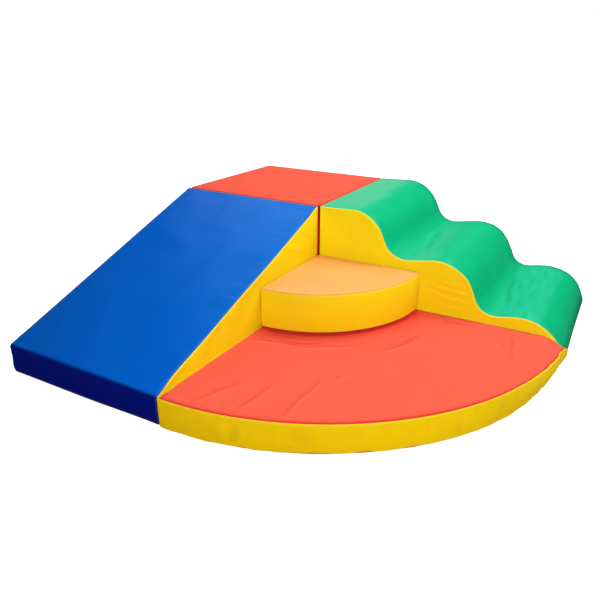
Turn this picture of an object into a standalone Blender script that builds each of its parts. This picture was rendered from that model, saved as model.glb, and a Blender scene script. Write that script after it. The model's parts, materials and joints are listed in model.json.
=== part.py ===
"""Soft play corner set: five foam pieces in sewn covers round one inside corner.

A square block stands in the corner. A ramp and a wave slide run away from it at a
right angle, and two quarter round steps fill the space between them. Each piece is
a foam core in a sewn cover with a zip, and hook and loop strips hold the pieces
together. Lengths are in metres and +Z is up. The origin is the middle of the base.
"""

import math

import bmesh
import bpy
from mathutils import Vector

# Sizes of the play pieces
MODULE_WIDTH = 0.600  # side of the block, width of the ramp and of the wave
BLOCK_HEIGHT = 0.412  # also the high end of the ramp and of the wave
RUN = 0.900  # length of the ramp and of the wave, radius of the low step
LOW_STEP_HEIGHT = 0.090  # also the height of the ramp's front lip
HIGH_STEP_RADIUS = 0.400
HIGH_STEP_THICKNESS = 0.134
MODULE_GAP = 0.003  # closed hook and loop between two pieces

# Profile of the wave, from the block outwards
WAVE_LAST_FACE_RUN = 0.054  # from the last crest to the end, along the floor
WAVE_PITCH = 0.315  # from one crest to the next
WAVE_FIRST_DROP = 0.121  # from the first crest to the second
WAVE_SECOND_DROP = 0.149  # from the second crest to the third
WAVE_FACE_ANGLE = math.radians(63)
WAVE_RISE_ANGLE = math.radians(9)
CREST_RADIUS = 0.141
TROUGH_RADIUS = 0.077

# Soft form of the covers
CROWN = 0.005  # how far a stuffed face stands out in its middle
EDGE_ROLL = 0.004  # how far an edge is drawn in at its seam
CORNER_RADIUS = 0.014
LIP_RADIUS = 0.014
TIP_SAG = 0.036  # how far the low step's thin tip is pressed down at the wave
TIP_SAG_LENGTH = 0.090
FLAT_SHARE = 0.3  # part of a crowned top that stays level in the middle

# Cover material and fits
COVER = 0.0008  # thickness of the coated fabric
SEAM_GAP = 0.0003  # clearance between two sewn pieces
SKIN = COVER + SEAM_GAP

# Hook and loop strips, one of each between two pieces
STRIP_THICKNESS = (MODULE_GAP - 3 * SEAM_GAP) / 2
STRIP_LENGTH = 0.400
STRIP_WIDTH = 0.050
STRIP_UPPER = 0.310  # height of the upper pair's middle on the block
STRIP_LOWER = 0.125  # height of the lower pair's middle on the block
LOW_STRIP_WIDTH = 0.030
LOW_STRIP_DROP = 0.028  # from the low step's top to the middle of its strips
TOP_STRIP_LENGTH = 0.220
TOP_STRIP_START = 0.045  # from the inside corner to the strips under the high step
TOP_STRIP_SPACING = 0.120

# Zips: tape behind a slot in the cover, coil in the slot, slider on the coil
ZIP_TAPE_WIDTH = 0.026
ZIP_TAPE_THICKNESS = 0.0006
ZIP_TAPE_END = 0.010  # how far the tape runs on past each end of the slot
ZIP_COIL_WIDTH = 0.0045
ZIP_COIL_HEIGHT = 0.0014
ZIP_SLOT_WIDTH = 0.0105
ZIP_HEIGHT = 0.045  # above the piece's base, on the tall pieces
STEP_ZIP_HEIGHT = 0.022
ZIP_LENGTH = 0.480
LONG_ZIP_LENGTH = 0.600
SHORT_ZIP_LENGTH = 0.260
ZIP_MARGIN = 0.110  # from the piece's end to the start of its zip
BLOCK_ZIP_MARGIN = 0.060
STEP_ZIP_MARGIN = 0.060
SLIDER_LENGTH = 0.011
SLIDER_WALL = 0.0014
SLIDER_PLATE = 0.0009
SLIDER_BAIL_HEIGHT = 0.0008
SLIDER_BAIL_LENGTH = 0.007
SLIDER_BAIL_WIDTH = 0.002
SLIDER_BAIL_EYE = 0.004

# Fineness of the rounds
ROUND_STEPS = 7
CORNER_STEPS = 3
ARC_STEPS = 32
LONGEST_SIDE = 0.150
RING_SCALES = (0.95, 0.86, 0.66, 0.46)
TIP_MARKS = (0.4, 0.7, 1.0)
WIDTH_STATIONS = (0.10, 0.28, 0.50, 0.72, 0.90)

# Where the pieces stand: the block's inside corner is at (CORNER_X, CORNER_Y)
OVERALL = MODULE_WIDTH + MODULE_GAP + RUN
CORNER_X = MODULE_WIDTH - OVERALL / 2
CORNER_Y = OVERALL / 2 - MODULE_WIDTH
HIGH_STEP_BASE = LOW_STEP_HEIGHT + MODULE_GAP


def clear_scene():
    for obj in list(bpy.data.objects):
        bpy.data.objects.remove(obj, do_unlink=True)


def make_material(name, colour, roughness, metallic=0.0):
    mat = bpy.data.materials.new(name)
    mat.use_nodes = True
    shader = mat.node_tree.nodes["Principled BSDF"]
    shader.inputs["Base Color"].default_value = (*colour, 1.0)
    shader.inputs["Roughness"].default_value = roughness
    shader.inputs["Metallic"].default_value = metallic
    mat.diffuse_color = (*colour, 1.0)
    return mat


def make_empty(name, location, turn=0.0):
    """An empty that carries one play piece. Its local +X runs away from the block."""
    empty = bpy.data.objects.new(name, None)
    empty.location = location
    empty.rotation_euler = (0, 0, turn)
    bpy.context.scene.collection.objects.link(empty)
    return empty


def make_object(name, verts, faces, mat, parent, origin=(0, 0, 0)):
    """One closed solid from points and faces, with its origin moved to a given point."""
    shift = Vector(origin)
    mesh = bpy.data.meshes.new(name)
    mesh.from_pydata([Vector(v) - shift for v in verts], [], faces)
    bm = bmesh.new()
    bm.from_mesh(mesh)
    bmesh.ops.recalc_face_normals(bm, faces=bm.faces)
    bm.to_mesh(mesh)
    bm.free()
    mesh.materials.append(mat)
    obj = bpy.data.objects.new(name, mesh)
    obj.location = shift
    obj.parent = parent
    bpy.context.scene.collection.objects.link(obj)
    return obj


def loft(name, sections, mat, parent, origin=(0, 0, 0), crossed=None):
    """A solid through closed loops of equal point count, capped at both ends.

    crossed tells which quads take the other diagonal, so that two surfaces that
    lie over each other are split along the same lines.
    """
    count = len(sections[0])
    verts = [p for loop in sections for p in loop]
    faces = [list(range(count))]
    for k in range(len(sections) - 1):
        for i in range(count):
            j = (i + 1) % count
            a, b = k * count, (k + 1) * count
            quad = [a + i, a + j, b + j, b + i]
            if crossed and crossed(k, i):
                quad = quad[1:] + quad[:1]
            faces.append([quad[0], quad[1], quad[2]])
            faces.append([quad[0], quad[2], quad[3]])
    last = (len(sections) - 1) * count
    faces.append([last + i for i in range(count)])
    return make_object(name, verts, faces, mat, parent, origin)


def box(name, low, high, mat, parent, origin=(0, 0, 0)):
    """A solid block between two opposite corners."""
    loops = []
    for x in (low[0], high[0]):
        loops.append([(x, y, z) for y, z in (
            (low[1], low[2]), (high[1], low[2]), (high[1], high[2]), (low[1], high[2]))])
    return loft(name, loops, mat, parent, origin)


def boolean(target, operation, tool):
    """Cut the target with a tool object, or join the tool to it, and hide the tool."""
    modifier = target.modifiers.new(operation.lower(), "BOOLEAN")
    modifier.operation = operation
    modifier.solver = "EXACT"
    modifier.object = tool
    tool.hide_render = True
    tool.display_type = "WIRE"


def rounded(points, radii, steps, closed):
    """Replace each corner of a chain of points by an arc of its radius.

    Two arcs on one side share it, and an arc beside a sharp end may take nearly all.
    """
    count = len(points)
    share = [0.48 if radius else 0.96 for radius in radii]
    out = []
    for i in range(count):
        here = Vector(points[i])
        if radii[i] == 0 or (not closed and i in (0, count - 1)):
            out.append(here)
            continue
        before = Vector(points[i - 1]) - here
        after = Vector(points[(i + 1) % count]) - here
        half = before.angle(after) / 2
        reach = min(radii[i] / math.tan(half), share[i - 1] * before.length,
                    share[(i + 1) % count] * after.length)
        radius = reach * math.tan(half)
        middle = (before.normalized() + after.normalized()).normalized()
        centre = here + middle * (radius / math.sin(half))
        start = here + before.normalized() * reach - centre
        turn = start.angle_signed(here + after.normalized() * reach - centre)
        for k in range(steps + 1):
            angle = -turn * k / steps
            out.append(centre + Vector((
                start.x * math.cos(angle) - start.y * math.sin(angle),
                start.x * math.sin(angle) + start.y * math.cos(angle))))
    return out


def side_normal(a, b):
    """Unit normal to the left of the way from a to b."""
    way = (b - a).normalized()
    return Vector((-way.y, way.x))


def corner_shift(a, b, c, depth):
    """Point b moved so that both its sides move to the left by depth."""
    n1, n2 = side_normal(a, b), side_normal(b, c)
    return b + (n1 + n2) * (depth / (1 + n1.dot(n2)))


def inset_loop(loop, depth):
    """A counter clockwise outline drawn in by depth."""
    count = len(loop)
    return [corner_shift(loop[i - 1], loop[i], loop[(i + 1) % count], depth)
            for i in range(count)]


def first_side(path, depth, u):
    """Height of the path's first side at u, once it is lowered square to itself."""
    way = (path[1] - path[0]).normalized()
    return path[0].y - depth / way.x + (u - path[0].x) * way.y / way.x


def inset_path(path, depth, start_u):
    """A top path drawn in by depth, from the upright at start_u down to the base."""
    out = [Vector((start_u, first_side(path, depth, start_u)))]
    for i in range(1, len(path) - 1):
        out.append(corner_shift(path[i - 1], path[i], path[i + 1], -depth))
    way = (path[-1] - path[-2]).normalized()
    foot = path[-1] - Vector((-way.y, way.x)) * depth
    out.append(Vector((foot.x + (SKIN - foot.y) * way.x / way.y, SKIN)))
    return out


def crown_at(u, v):
    """Height of the crown at u along a ramp or wave and v across it."""
    along = 1 - abs(2 * u / RUN - 1) ** 4
    across = 1 - abs(2 * v / MODULE_WIDTH - 1) ** 3
    return CROWN * max(0.0, along) * max(0.0, across)


def width_stations():
    """Places across a ramp or wave, each with how far the edge is drawn in there."""
    inner = [(MODULE_WIDTH * s, 0.0) for s in WIDTH_STATIONS]
    first = [(SKIN, EDGE_ROLL), (SKIN + EDGE_ROLL, 0.0)]
    last = [(MODULE_WIDTH - v, roll) for v, roll in reversed(first)]
    return first + inner + last


def crowned(points, v, offset=0.0):
    """Path points lifted by the crown and placed at v across the piece."""
    return [(p.x, v, p.y + crown_at(p.x + offset, v)) for p in points]


def profile_piece(prefix, path, top_name, side_names, colours, parent):
    """Foam core and cover panels of a ramp or wave, which share one build."""
    stations = width_stations()
    top, core, back = [], [], []
    for v, roll in stations:
        outer = crowned(inset_path(path, roll, roll), v)
        inner = crowned(inset_path(path, roll + COVER, roll), v)
        top.append(outer + inner[::-1])
        bed = roll + SKIN
        core.append([(bed, v, SKIN)] + crowned(inset_path(path, bed, bed), v))
        head = first_side(path, roll + COVER, roll + COVER) - SEAM_GAP
        back.append([(roll, v, SKIN), (roll + COVER, v, SKIN),
                     (roll + COVER, v, head), (roll, v, head)])
    foam, main, side = colours
    loft(f"{prefix}_foam_core", core, foam, parent, crossed=lambda k, i: i > 0)
    loft(f"{prefix}_{top_name}", top, main, parent,
         crossed=lambda k, i: i < len(path) - 1)
    back_ends = [back[0], back[1], back[-2], back[-1]]
    loft(f"{prefix}_back_panel", back_ends, side, parent)
    edge = [Vector((EDGE_ROLL, SKIN))] + inset_path(path, EDGE_ROLL, EDGE_ROLL)
    for name, v in zip(side_names, (0.0, MODULE_WIDTH - COVER)):
        loops = [[(p.x, w, p.y) for p in edge] for w in (v, v + COVER)]
        loft(f"{prefix}_{name}", loops, side, parent)
    base = rounded([Vector(p) for p in (
        (0, 0), (RUN, 0), (RUN, MODULE_WIDTH), (0, MODULE_WIDTH))],
        [EDGE_ROLL] * 4, CORNER_STEPS, True)
    loft(f"{prefix}_base_panel", [[(p.x, p.y, z) for p in base] for z in (0, COVER)],
         side, parent)


def divided(path):
    """The path with points added along its long straight sides, for the crown."""
    out = [path[0]]
    for a, b in zip(path[:-1], path[1:]):
        parts = math.ceil((b - a).length / LONGEST_SIDE)
        out += [a + (b - a) * (k / parts) for k in range(1, parts + 1)]
    return out


def ramp_path():
    corners = [(0, BLOCK_HEIGHT), (RUN, LOW_STEP_HEIGHT), (RUN, SKIN)]
    return divided(rounded(corners, [0, LIP_RADIUS, 0], CORNER_STEPS + 1, False))


def wave_path():
    """Flat top, then three crests with a trough before each of the last two."""
    third = Vector((RUN - WAVE_LAST_FACE_RUN,
                    BLOCK_HEIGHT - WAVE_FIRST_DROP - WAVE_SECOND_DROP))
    second = Vector((third.x - WAVE_PITCH, BLOCK_HEIGHT - WAVE_FIRST_DROP))
    first = Vector((second.x - WAVE_PITCH, BLOCK_HEIGHT))
    fall, rise = math.tan(WAVE_FACE_ANGLE), math.tan(WAVE_RISE_ANGLE)
    corners = [(0, BLOCK_HEIGHT), tuple(first)]
    for high, low in ((first, second), (second, third)):
        run = (high.y - low.y + (low.x - high.x) * rise) / (fall + rise)
        corners.append((high.x + run, high.y - run * fall))
        corners.append(tuple(low))
    corners.append((RUN, SKIN))
    radii = [0, CREST_RADIUS, TROUGH_RADIUS, CREST_RADIUS, TROUGH_RADIUS, CREST_RADIUS, 0]
    return divided(rounded(corners, radii, ROUND_STEPS, False))


def crown_height(scale, crown):
    """Crown over a top at a ring of this scale, level in the middle."""
    share = max(0.0, (scale - FLAT_SHARE) / (1 - FLAT_SHARE))
    return crown * (1 - share ** 2)


def top_rings(outline, centre, height, crown, sag):
    """Rings of points from the seam to the middle of a crowned, level top."""
    drawn = inset_loop(outline, EDGE_ROLL)
    rings = [[(p.x, p.y, height - EDGE_ROLL - sag(p)) for p in outline],
             [(p.x, p.y, height - sag(p)) for p in drawn]]
    for scale in (*RING_SCALES, FLAT_SHARE):
        ring = [centre + (p - centre) * scale for p in drawn]
        lift = crown_height(scale, crown)
        rings.append([(p.x, p.y, height + lift - sag(p)) for p in ring])
    return rings


def lowered(rings, depth):
    return [[(x, y, z - depth) for x, y, z in ring] for ring in rings]


def prism(name, outline, low, high, mat, parent):
    return loft(name, [[(p.x, p.y, z) for p in outline] for z in (low, high)], mat, parent)


def wall(name, path, low, height_at, mat, parent, closed=False):
    """An upright strip of cover along a path, with the cover's outside on its right."""
    if closed:
        outer, inner = path, inset_loop(path, COVER)
    else:
        before = [path[0] * 2 - path[1]] + path[:-1]
        after = path[1:] + [path[-1] * 2 - path[-2]]
        inner = [corner_shift(a, b, c, COVER) for a, b, c in zip(before, path, after)]
        outer = path
    sections = []
    for p, q in zip(outer, inner):
        sections.append([(p.x, p.y, low), (q.x, q.y, low),
                         (q.x, q.y, height_at(p)), (p.x, p.y, height_at(p))])
    if not closed:
        return loft(name, sections, mat, parent)
    count = len(sections)
    verts = [v for loop in sections for v in loop]
    faces = []
    for k in range(count):
        a, b = 4 * k, 4 * ((k + 1) % count)
        for i in range(4):
            j = (i + 1) % 4
            faces.append([a + i, a + j, b + j, b + i])
    return make_object(name, verts, faces, mat, parent)


def no_sag(point):
    return 0.0


def tip_sag(point):
    """How far the low step's cover is pressed down near its tip at the wave."""
    gap = (point - Vector((RUN, 0))).length
    return TIP_SAG * max(0.0, 1 - gap / TIP_SAG_LENGTH) ** 2


def level_piece(prefix, outline, centre, base, height, crown, sag, colours, parent):
    """Foam core, top panel and base panel of a piece with upright sides."""
    foam, main, underside = colours
    top = height + base
    upper = top_rings(outline, centre, top, crown, sag)
    stack = lowered(upper, COVER)[::-1] + upper
    loft(f"{prefix}_top_panel", stack, main, parent,
         crossed=lambda k, i: k < len(upper) - 1)
    inner = inset_loop(outline, SKIN)
    rings = lowered(upper, COVER + 2 * SEAM_GAP)
    shoulder = top - EDGE_ROLL + SKIN - COVER - 2 * SEAM_GAP
    rings[0] = [(p.x, p.y, shoulder - sag(p)) for p in inner]
    foot = [(p.x, p.y, base + SKIN) for p in inner]
    loft(f"{prefix}_foam_core", [foot] + rings, foam, parent)
    prism(f"{prefix}_base_panel", outline, base, base + COVER, underside, parent)


def side_top(top, sag):
    """Height of the side panels' upper edge, just under the top panel's edge."""
    return lambda p: top - EDGE_ROLL - COVER - SEAM_GAP - sag(p)


def quarter_outline(radius):
    """Plan of a quarter round step: two straight sides on -X and +Y, and the arc.

    The straight side at the wave has extra points near the tip, where it can sag.
    """
    arc = [Vector((radius * math.cos(a), radius * math.sin(a))) for a in (
        math.radians(-90 + 90 * k / ARC_STEPS) for k in range(ARC_STEPS + 1))]
    marks = [Vector((radius - TIP_SAG_LENGTH * share, 0)) for share in TIP_MARKS]
    points = [Vector((0, 0))] + arc + marks
    radii = [CORNER_RADIUS, CORNER_RADIUS] + [0] * (ARC_STEPS - 1) + [CORNER_RADIUS]
    radii += [0] * len(marks)
    return rounded(points, radii, CORNER_STEPS, True)


def step_piece(prefix, radius, base, height, crown, sag, colours, parent):
    """A quarter round step with its curved band and its two straight side panels."""
    foam, main, band, underside = colours
    outline = quarter_outline(radius)
    centre = Vector((0.42, -0.42)) * radius
    level_piece(prefix, outline, centre, base, height, crown, sag,
                (foam, main, underside), parent)
    top_of = side_top(base + height, sag)
    low = base + SKIN
    corner = CORNER_STEPS + 1
    arc = outline[corner:len(outline) - len(TIP_MARKS)]
    wall(f"{prefix}_arc_band", arc, low, top_of, band, parent)
    straight = [outline[corner - 1] + Vector((0, 0)), arc[0] + Vector((0, SEAM_GAP))]
    ramp_side = wall(f"{prefix}_ramp_side_panel", straight, low, top_of, band, parent)
    turned = [arc[-1] - Vector((SEAM_GAP, 0))] + outline[-len(TIP_MARKS):]
    turned += outline[:corner - 1]
    turned.append(outline[corner - 1] + Vector((0, SEAM_GAP)))
    wall(f"{prefix}_wave_side_panel", turned, low, top_of, band, parent)
    return ramp_side


def add_zip(prefix, place, along, out, length, panel, core, colours, parent):
    """A zip set into an upright panel, with its slider closed at the zip's start.

    place is the start of the slot on the panel's face, along the way it opens and
    out the way the panel faces.
    """
    tape_mat, metal = colours
    place, along, out = Vector(place), Vector(along), Vector(out)
    up = Vector((0, 0, 1))

    def at(a, h, n):
        return place + along * a + up * h + out * n

    def bar(name, low, high, mat=tape_mat):
        loops = [[at(a, h, n) for h, n in (
            (low[1], low[2]), (high[1], low[2]), (high[1], high[2]), (low[1], high[2]))]
            for a in (low[0], high[0])]
        return loft(name, loops, mat, parent)

    half_tape, half_coil, half_slot = ZIP_TAPE_WIDTH / 2, ZIP_COIL_WIDTH / 2, ZIP_SLOT_WIDTH / 2
    bed = -SKIN - ZIP_TAPE_THICKNESS
    coil_top = ZIP_COIL_HEIGHT - SKIN
    slot = bar(f"{prefix}_zip_slot_cutter", (0, -half_slot, -COVER * 1.5),
               (length, half_slot, COVER))
    boolean(panel, "DIFFERENCE", slot)
    pocket_end = ZIP_TAPE_END + SEAM_GAP
    pocket = bar(f"{prefix}_zip_pocket_cutter",
                 (-pocket_end, -half_tape - SEAM_GAP, bed - SEAM_GAP),
                 (length + pocket_end, half_tape + SEAM_GAP, COVER))
    boolean(core, "DIFFERENCE", pocket)
    tape = bar(f"{prefix}_zip_tape", (-ZIP_TAPE_END, -half_tape, bed),
               (length + ZIP_TAPE_END, half_tape, -SKIN))
    coil = bar(f"{prefix}_zip_coil_joined",
               (SEAM_GAP, -half_coil, bed + ZIP_TAPE_THICKNESS / 2),
               (length - SEAM_GAP, half_coil, coil_top))
    boolean(tape, "UNION", coil)
    half_bore = half_coil + SEAM_GAP
    half_body = half_bore + SLIDER_WALL
    foot = SEAM_GAP - SKIN
    ceiling = coil_top + SEAM_GAP
    plate = ceiling + SLIDER_PLATE
    section = [(-half_body, foot), (-half_bore, foot), (-half_bore, ceiling),
               (half_bore, ceiling), (half_bore, foot), (half_body, foot),
               (half_body, plate), (-half_body, plate)]
    start = SEAM_GAP
    slider = loft(f"{prefix}_zip_slider",
                  [[at(a, h, n) for h, n in section] for a in (start, start + SLIDER_LENGTH)],
                  metal, parent, at(start + SLIDER_LENGTH / 2, 0, coil_top))
    middle = start + SLIDER_LENGTH / 2
    half_bail, half_eye = SLIDER_BAIL_LENGTH / 2, SLIDER_BAIL_EYE / 2
    sunk = plate - SLIDER_PLATE / 2
    arch = plate + SLIDER_BAIL_HEIGHT
    section = [(-half_bail, sunk), (-half_eye, sunk),
               (-half_eye, plate + SLIDER_BAIL_HEIGHT / 2),
               (half_eye, plate + SLIDER_BAIL_HEIGHT / 2), (half_eye, sunk),
               (half_bail, sunk), (half_bail, arch), (-half_bail, arch)]
    bail = loft(f"{prefix}_zip_bail_cutter",
                [[at(middle + a, h, n) for a, n in section]
                 for h in (-SLIDER_BAIL_WIDTH / 2, SLIDER_BAIL_WIDTH / 2)], metal, parent)
    boolean(slider, "UNION", bail)
    return slider


def strip(name, low, high, mat, parent):
    """A hook or loop strip between two opposite corners, in the parent's frame."""
    return box(name, low, high, mat, parent)


def main():
    clear_scene()
    foam = make_material("foam", (0.86, 0.85, 0.80), 0.95)
    red = make_material("red_vinyl", (0.83, 0.05, 0.04), 0.45)
    blue = make_material("blue_vinyl", (0.01, 0.09, 0.42), 0.45)
    yellow = make_material("yellow_vinyl", (0.88, 0.52, 0.01), 0.45)
    green = make_material("green_vinyl", (0.01, 0.42, 0.22), 0.45)
    orange = make_material("orange_vinyl", (0.98, 0.46, 0.16), 0.45)
    zip_tape = make_material("zip_tape", (0.05, 0.05, 0.05), 0.8)
    zip_metal = make_material("zip_metal", (0.62, 0.62, 0.60), 0.35, 0.9)
    hook = make_material("hook_strip", (0.03, 0.03, 0.03), 0.85)
    loop = make_material("loop_strip", (0.05, 0.05, 0.06), 0.95)
    zip_colours = (zip_tape, zip_metal)

    # Corner block
    block = make_empty("corner_block", (CORNER_X - MODULE_WIDTH, CORNER_Y, 0))
    square = rounded([Vector(p) for p in (
        (0, 0), (MODULE_WIDTH, 0), (MODULE_WIDTH, MODULE_WIDTH), (0, MODULE_WIDTH))],
        [CORNER_RADIUS] * 4, CORNER_STEPS, True)
    middle = Vector((MODULE_WIDTH, MODULE_WIDTH)) / 2
    level_piece("block", square, middle, 0, BLOCK_HEIGHT, CROWN, no_sag,
                (foam, red, red), block)
    band = wall("block_side_band", square, SKIN, side_top(BLOCK_HEIGHT, no_sag), red,
                block, closed=True)
    add_zip("block", (MODULE_WIDTH - BLOCK_ZIP_MARGIN, MODULE_WIDTH, ZIP_HEIGHT),
            (-1, 0, 0), (0, 1, 0), ZIP_LENGTH, band,
            bpy.data.objects["block_foam_core"], zip_colours, block)

    # Ramp, which runs towards -Y
    ramp = make_empty("ramp", (CORNER_X - MODULE_WIDTH, CORNER_Y - MODULE_GAP, 0),
                      math.radians(-90))
    profile_piece("ramp", ramp_path(), "slide_panel",
                  ("outer_side_panel", "inner_side_panel"), (foam, blue, yellow), ramp)
    add_zip("ramp", (ZIP_MARGIN, 0, ZIP_HEIGHT), (1, 0, 0), (0, -1, 0), LONG_ZIP_LENGTH,
            bpy.data.objects["ramp_outer_side_panel"],
            bpy.data.objects["ramp_foam_core"], zip_colours, ramp)

    # Wave, which runs towards +X
    wave = make_empty("wave", (CORNER_X + MODULE_GAP, CORNER_Y, 0))
    profile_piece("wave", wave_path(), "top_panel",
                  ("front_side_panel", "rear_side_panel"), (foam, green, yellow), wave)
    add_zip("wave", (ZIP_MARGIN + LONG_ZIP_LENGTH, MODULE_WIDTH, ZIP_HEIGHT), (-1, 0, 0),
            (0, 1, 0), LONG_ZIP_LENGTH, bpy.data.objects["wave_rear_side_panel"],
            bpy.data.objects["wave_foam_core"], zip_colours, wave)

    # Low and high step, whose inside corners stand one above the other
    corner = (CORNER_X + MODULE_GAP, CORNER_Y - MODULE_GAP, 0)
    low_step = make_empty("low_step", corner)
    side = step_piece("low_step", RUN, 0, LOW_STEP_HEIGHT, 0, tip_sag,
                      (foam, red, yellow, red), low_step)
    add_zip("low_step", (0, -STEP_ZIP_MARGIN, STEP_ZIP_HEIGHT), (0, -1, 0), (-1, 0, 0),
            LONG_ZIP_LENGTH, side, bpy.data.objects["low_step_foam_core"],
            zip_colours, low_step)
    high_step = make_empty("high_step", corner)
    side = step_piece("high_step", HIGH_STEP_RADIUS, HIGH_STEP_BASE, HIGH_STEP_THICKNESS,
                      CROWN, no_sag, (foam, orange, yellow, yellow), high_step)
    add_zip("high_step", (0, -STEP_ZIP_MARGIN, HIGH_STEP_BASE + STEP_ZIP_HEIGHT),
            (0, -1, 0), (-1, 0, 0), SHORT_ZIP_LENGTH, side,
            bpy.data.objects["high_step_foam_core"], zip_colours, high_step)

    # Hook strips on the block, loop strips on the ramp and the wave
    near = (SEAM_GAP, SEAM_GAP + STRIP_THICKNESS)
    start = (MODULE_WIDTH - STRIP_LENGTH) / 2
    end = start + STRIP_LENGTH
    for level, height in (("upper", STRIP_UPPER), ("lower", STRIP_LOWER)):
        low, high = height - STRIP_WIDTH / 2, height + STRIP_WIDTH / 2
        strip(f"block_hook_to_ramp_{level}", (start, -near[1], low),
              (end, -near[0], high), hook, block)
        strip(f"block_hook_to_wave_{level}", (MODULE_WIDTH + near[0], start, low),
              (MODULE_WIDTH + near[1], end, high), hook, block)
        strip(f"ramp_loop_to_block_{level}", (-near[1], start, low),
              (-near[0], end, high), loop, ramp)
        strip(f"wave_loop_to_block_{level}", (-near[1], start, low),
              (-near[0], end, high), loop, wave)

    # Hook strips on the ramp and the wave, loop strips on the low step
    start = (RUN - STRIP_LENGTH) / 2
    end = start + STRIP_LENGTH
    low = LOW_STEP_HEIGHT - LOW_STRIP_DROP - LOW_STRIP_WIDTH / 2
    high = low + LOW_STRIP_WIDTH
    strip("ramp_hook_to_low_step", (start, MODULE_WIDTH + near[0], low),
          (end, MODULE_WIDTH + near[1], high), hook, ramp)
    strip("wave_hook_to_low_step", (start, -near[1], low), (end, -near[0], high), hook, wave)
    strip("low_step_loop_to_ramp", (-near[1], -end, low), (-near[0], -start, high),
          loop, low_step)
    strip("low_step_loop_to_wave", (start, near[0], low), (end, near[1], high),
          loop, low_step)

    # Hook strips on the low step's top, loop strips under the high step
    for place, shift in (("rear", 0), ("front", TOP_STRIP_SPACING)):
        y = -TOP_STRIP_START - shift
        x = TOP_STRIP_START
        for name, mat, base, body in (
                ("low_step_hook_to_high", hook, LOW_STEP_HEIGHT + near[0], low_step),
                ("high_step_loop_to_low", loop, HIGH_STEP_BASE - near[1], high_step)):
            strip(f"{name}_{place}", (x, y - LOW_STRIP_WIDTH, base),
                  (x + TOP_STRIP_LENGTH, y, base + STRIP_THICKNESS), mat, body)


main()
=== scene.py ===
# %% [markdown]
# A soft play corner
#
# Five foam pieces in sewn covers stand round one inside corner: a square block, a ramp, a
# wave slide and two quarter round steps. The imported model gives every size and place. We
# load it first, and all that follows is fitted round it.

import json
import math
from types import SimpleNamespace

import bmesh
import bpy
import numpy as np
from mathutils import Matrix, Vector


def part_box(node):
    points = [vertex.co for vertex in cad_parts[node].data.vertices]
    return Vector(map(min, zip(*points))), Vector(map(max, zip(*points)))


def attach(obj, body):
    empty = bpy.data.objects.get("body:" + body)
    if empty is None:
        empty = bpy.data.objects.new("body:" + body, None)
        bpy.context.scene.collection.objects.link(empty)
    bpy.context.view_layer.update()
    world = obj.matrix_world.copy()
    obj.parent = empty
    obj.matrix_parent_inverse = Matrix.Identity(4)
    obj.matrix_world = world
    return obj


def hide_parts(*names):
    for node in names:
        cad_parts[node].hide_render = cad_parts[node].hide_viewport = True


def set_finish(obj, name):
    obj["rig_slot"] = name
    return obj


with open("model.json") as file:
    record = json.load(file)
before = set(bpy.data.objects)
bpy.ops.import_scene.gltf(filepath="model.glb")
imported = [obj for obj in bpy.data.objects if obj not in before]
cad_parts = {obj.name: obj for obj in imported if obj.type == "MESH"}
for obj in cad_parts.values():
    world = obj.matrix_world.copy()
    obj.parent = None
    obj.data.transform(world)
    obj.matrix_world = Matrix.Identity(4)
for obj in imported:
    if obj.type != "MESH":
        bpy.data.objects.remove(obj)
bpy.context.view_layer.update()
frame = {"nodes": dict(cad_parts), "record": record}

# %% [markdown]
# Sizes from the model
#
# A cover has to sit where its solid sits, so we read the main sizes from the boxes of the
# base panels and write down only what the boxes can't tell, such as the wave's profile.

# %% Sizes in metres
def box(node):
    """The lowest and highest corner of a node of the model."""
    return (np.array(corner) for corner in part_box(node))


block_low, block_high = box("block_base_panel")
ramp_low, ramp_high = box("ramp_base_panel")
wave_low, wave_high = box("wave_base_panel")
step_low, step_high = box("low_step_base_panel")
upper_low, upper_high = box("high_step_base_panel")
WIDTH = block_high[0] - block_low[0]
RUN = wave_high[0] - wave_low[0]
HEIGHT = 0.412
LOW_HEIGHT = 0.090
HIGH_BASE = upper_low[2]
HIGH_THICKNESS = 0.134
HIGH_RADIUS = upper_high[0] - upper_low[0]
print(f"block {WIDTH:.3f} m wide, runs {RUN:.3f} m, high step radius {HIGH_RADIUS:.3f} m")

# %% [markdown]
# Outlines with rounded corners
#
# Every foam piece is one flat outline pushed along a straight line. The ramp and the wave
# are profiles pushed sideways, and the block and the steps are plans pushed upwards. Foam
# has no sharp corner, so each corner is an arc.

# %% An outline from corners and radii
ARC_HALF = 16


def unit(vectors):
    """Vectors of the same directions and of length one."""
    return vectors / np.linalg.norm(vectors, axis=-1, keepdims=True)


def rounded_path(corners, radii):
    """A closed outline, and the index of the middle of each corner.

    Each corner is cut back by its radius over the tangent of half its angle, and
    bridged by an arc about the point that is one radius away from both sides.
    """
    corners = np.asarray(corners, float)
    parts, middles, total = [], [], 0
    before, after = np.roll(corners, 1, 0), np.roll(corners, -1, 0)
    for here, b, a, radius in zip(corners, before, after, radii):
        arc = here[None]
        if radius:
            b, a = unit(b - here), unit(a - here)
            half = math.acos(float(b @ a)) / 2
            centre = here + unit(b + a) * radius / math.sin(half)
            start = here + b * radius / math.tan(half) - centre
            turn = math.copysign(math.pi - 2 * half, a[0] * b[1] - a[1] * b[0])
            angle = np.linspace(0, turn, 2 * ARC_HALF + 1)[:, None]
            side = np.array((-start[1], start[0]))
            arc = centre + start * np.cos(angle) + side * np.sin(angle)
        middles.append(total + len(arc) // 2)
        total += len(arc)
        parts.append(arc)
    return np.concatenate(parts), middles


# %% [markdown]
# Points where they are needed
#
# A seam needs points every millimetre and the middle of a panel only every seven. The
# spacing therefore grows with the distance from both ends of a side.

# %% Stations along a side
SAMPLES = 1500


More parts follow.
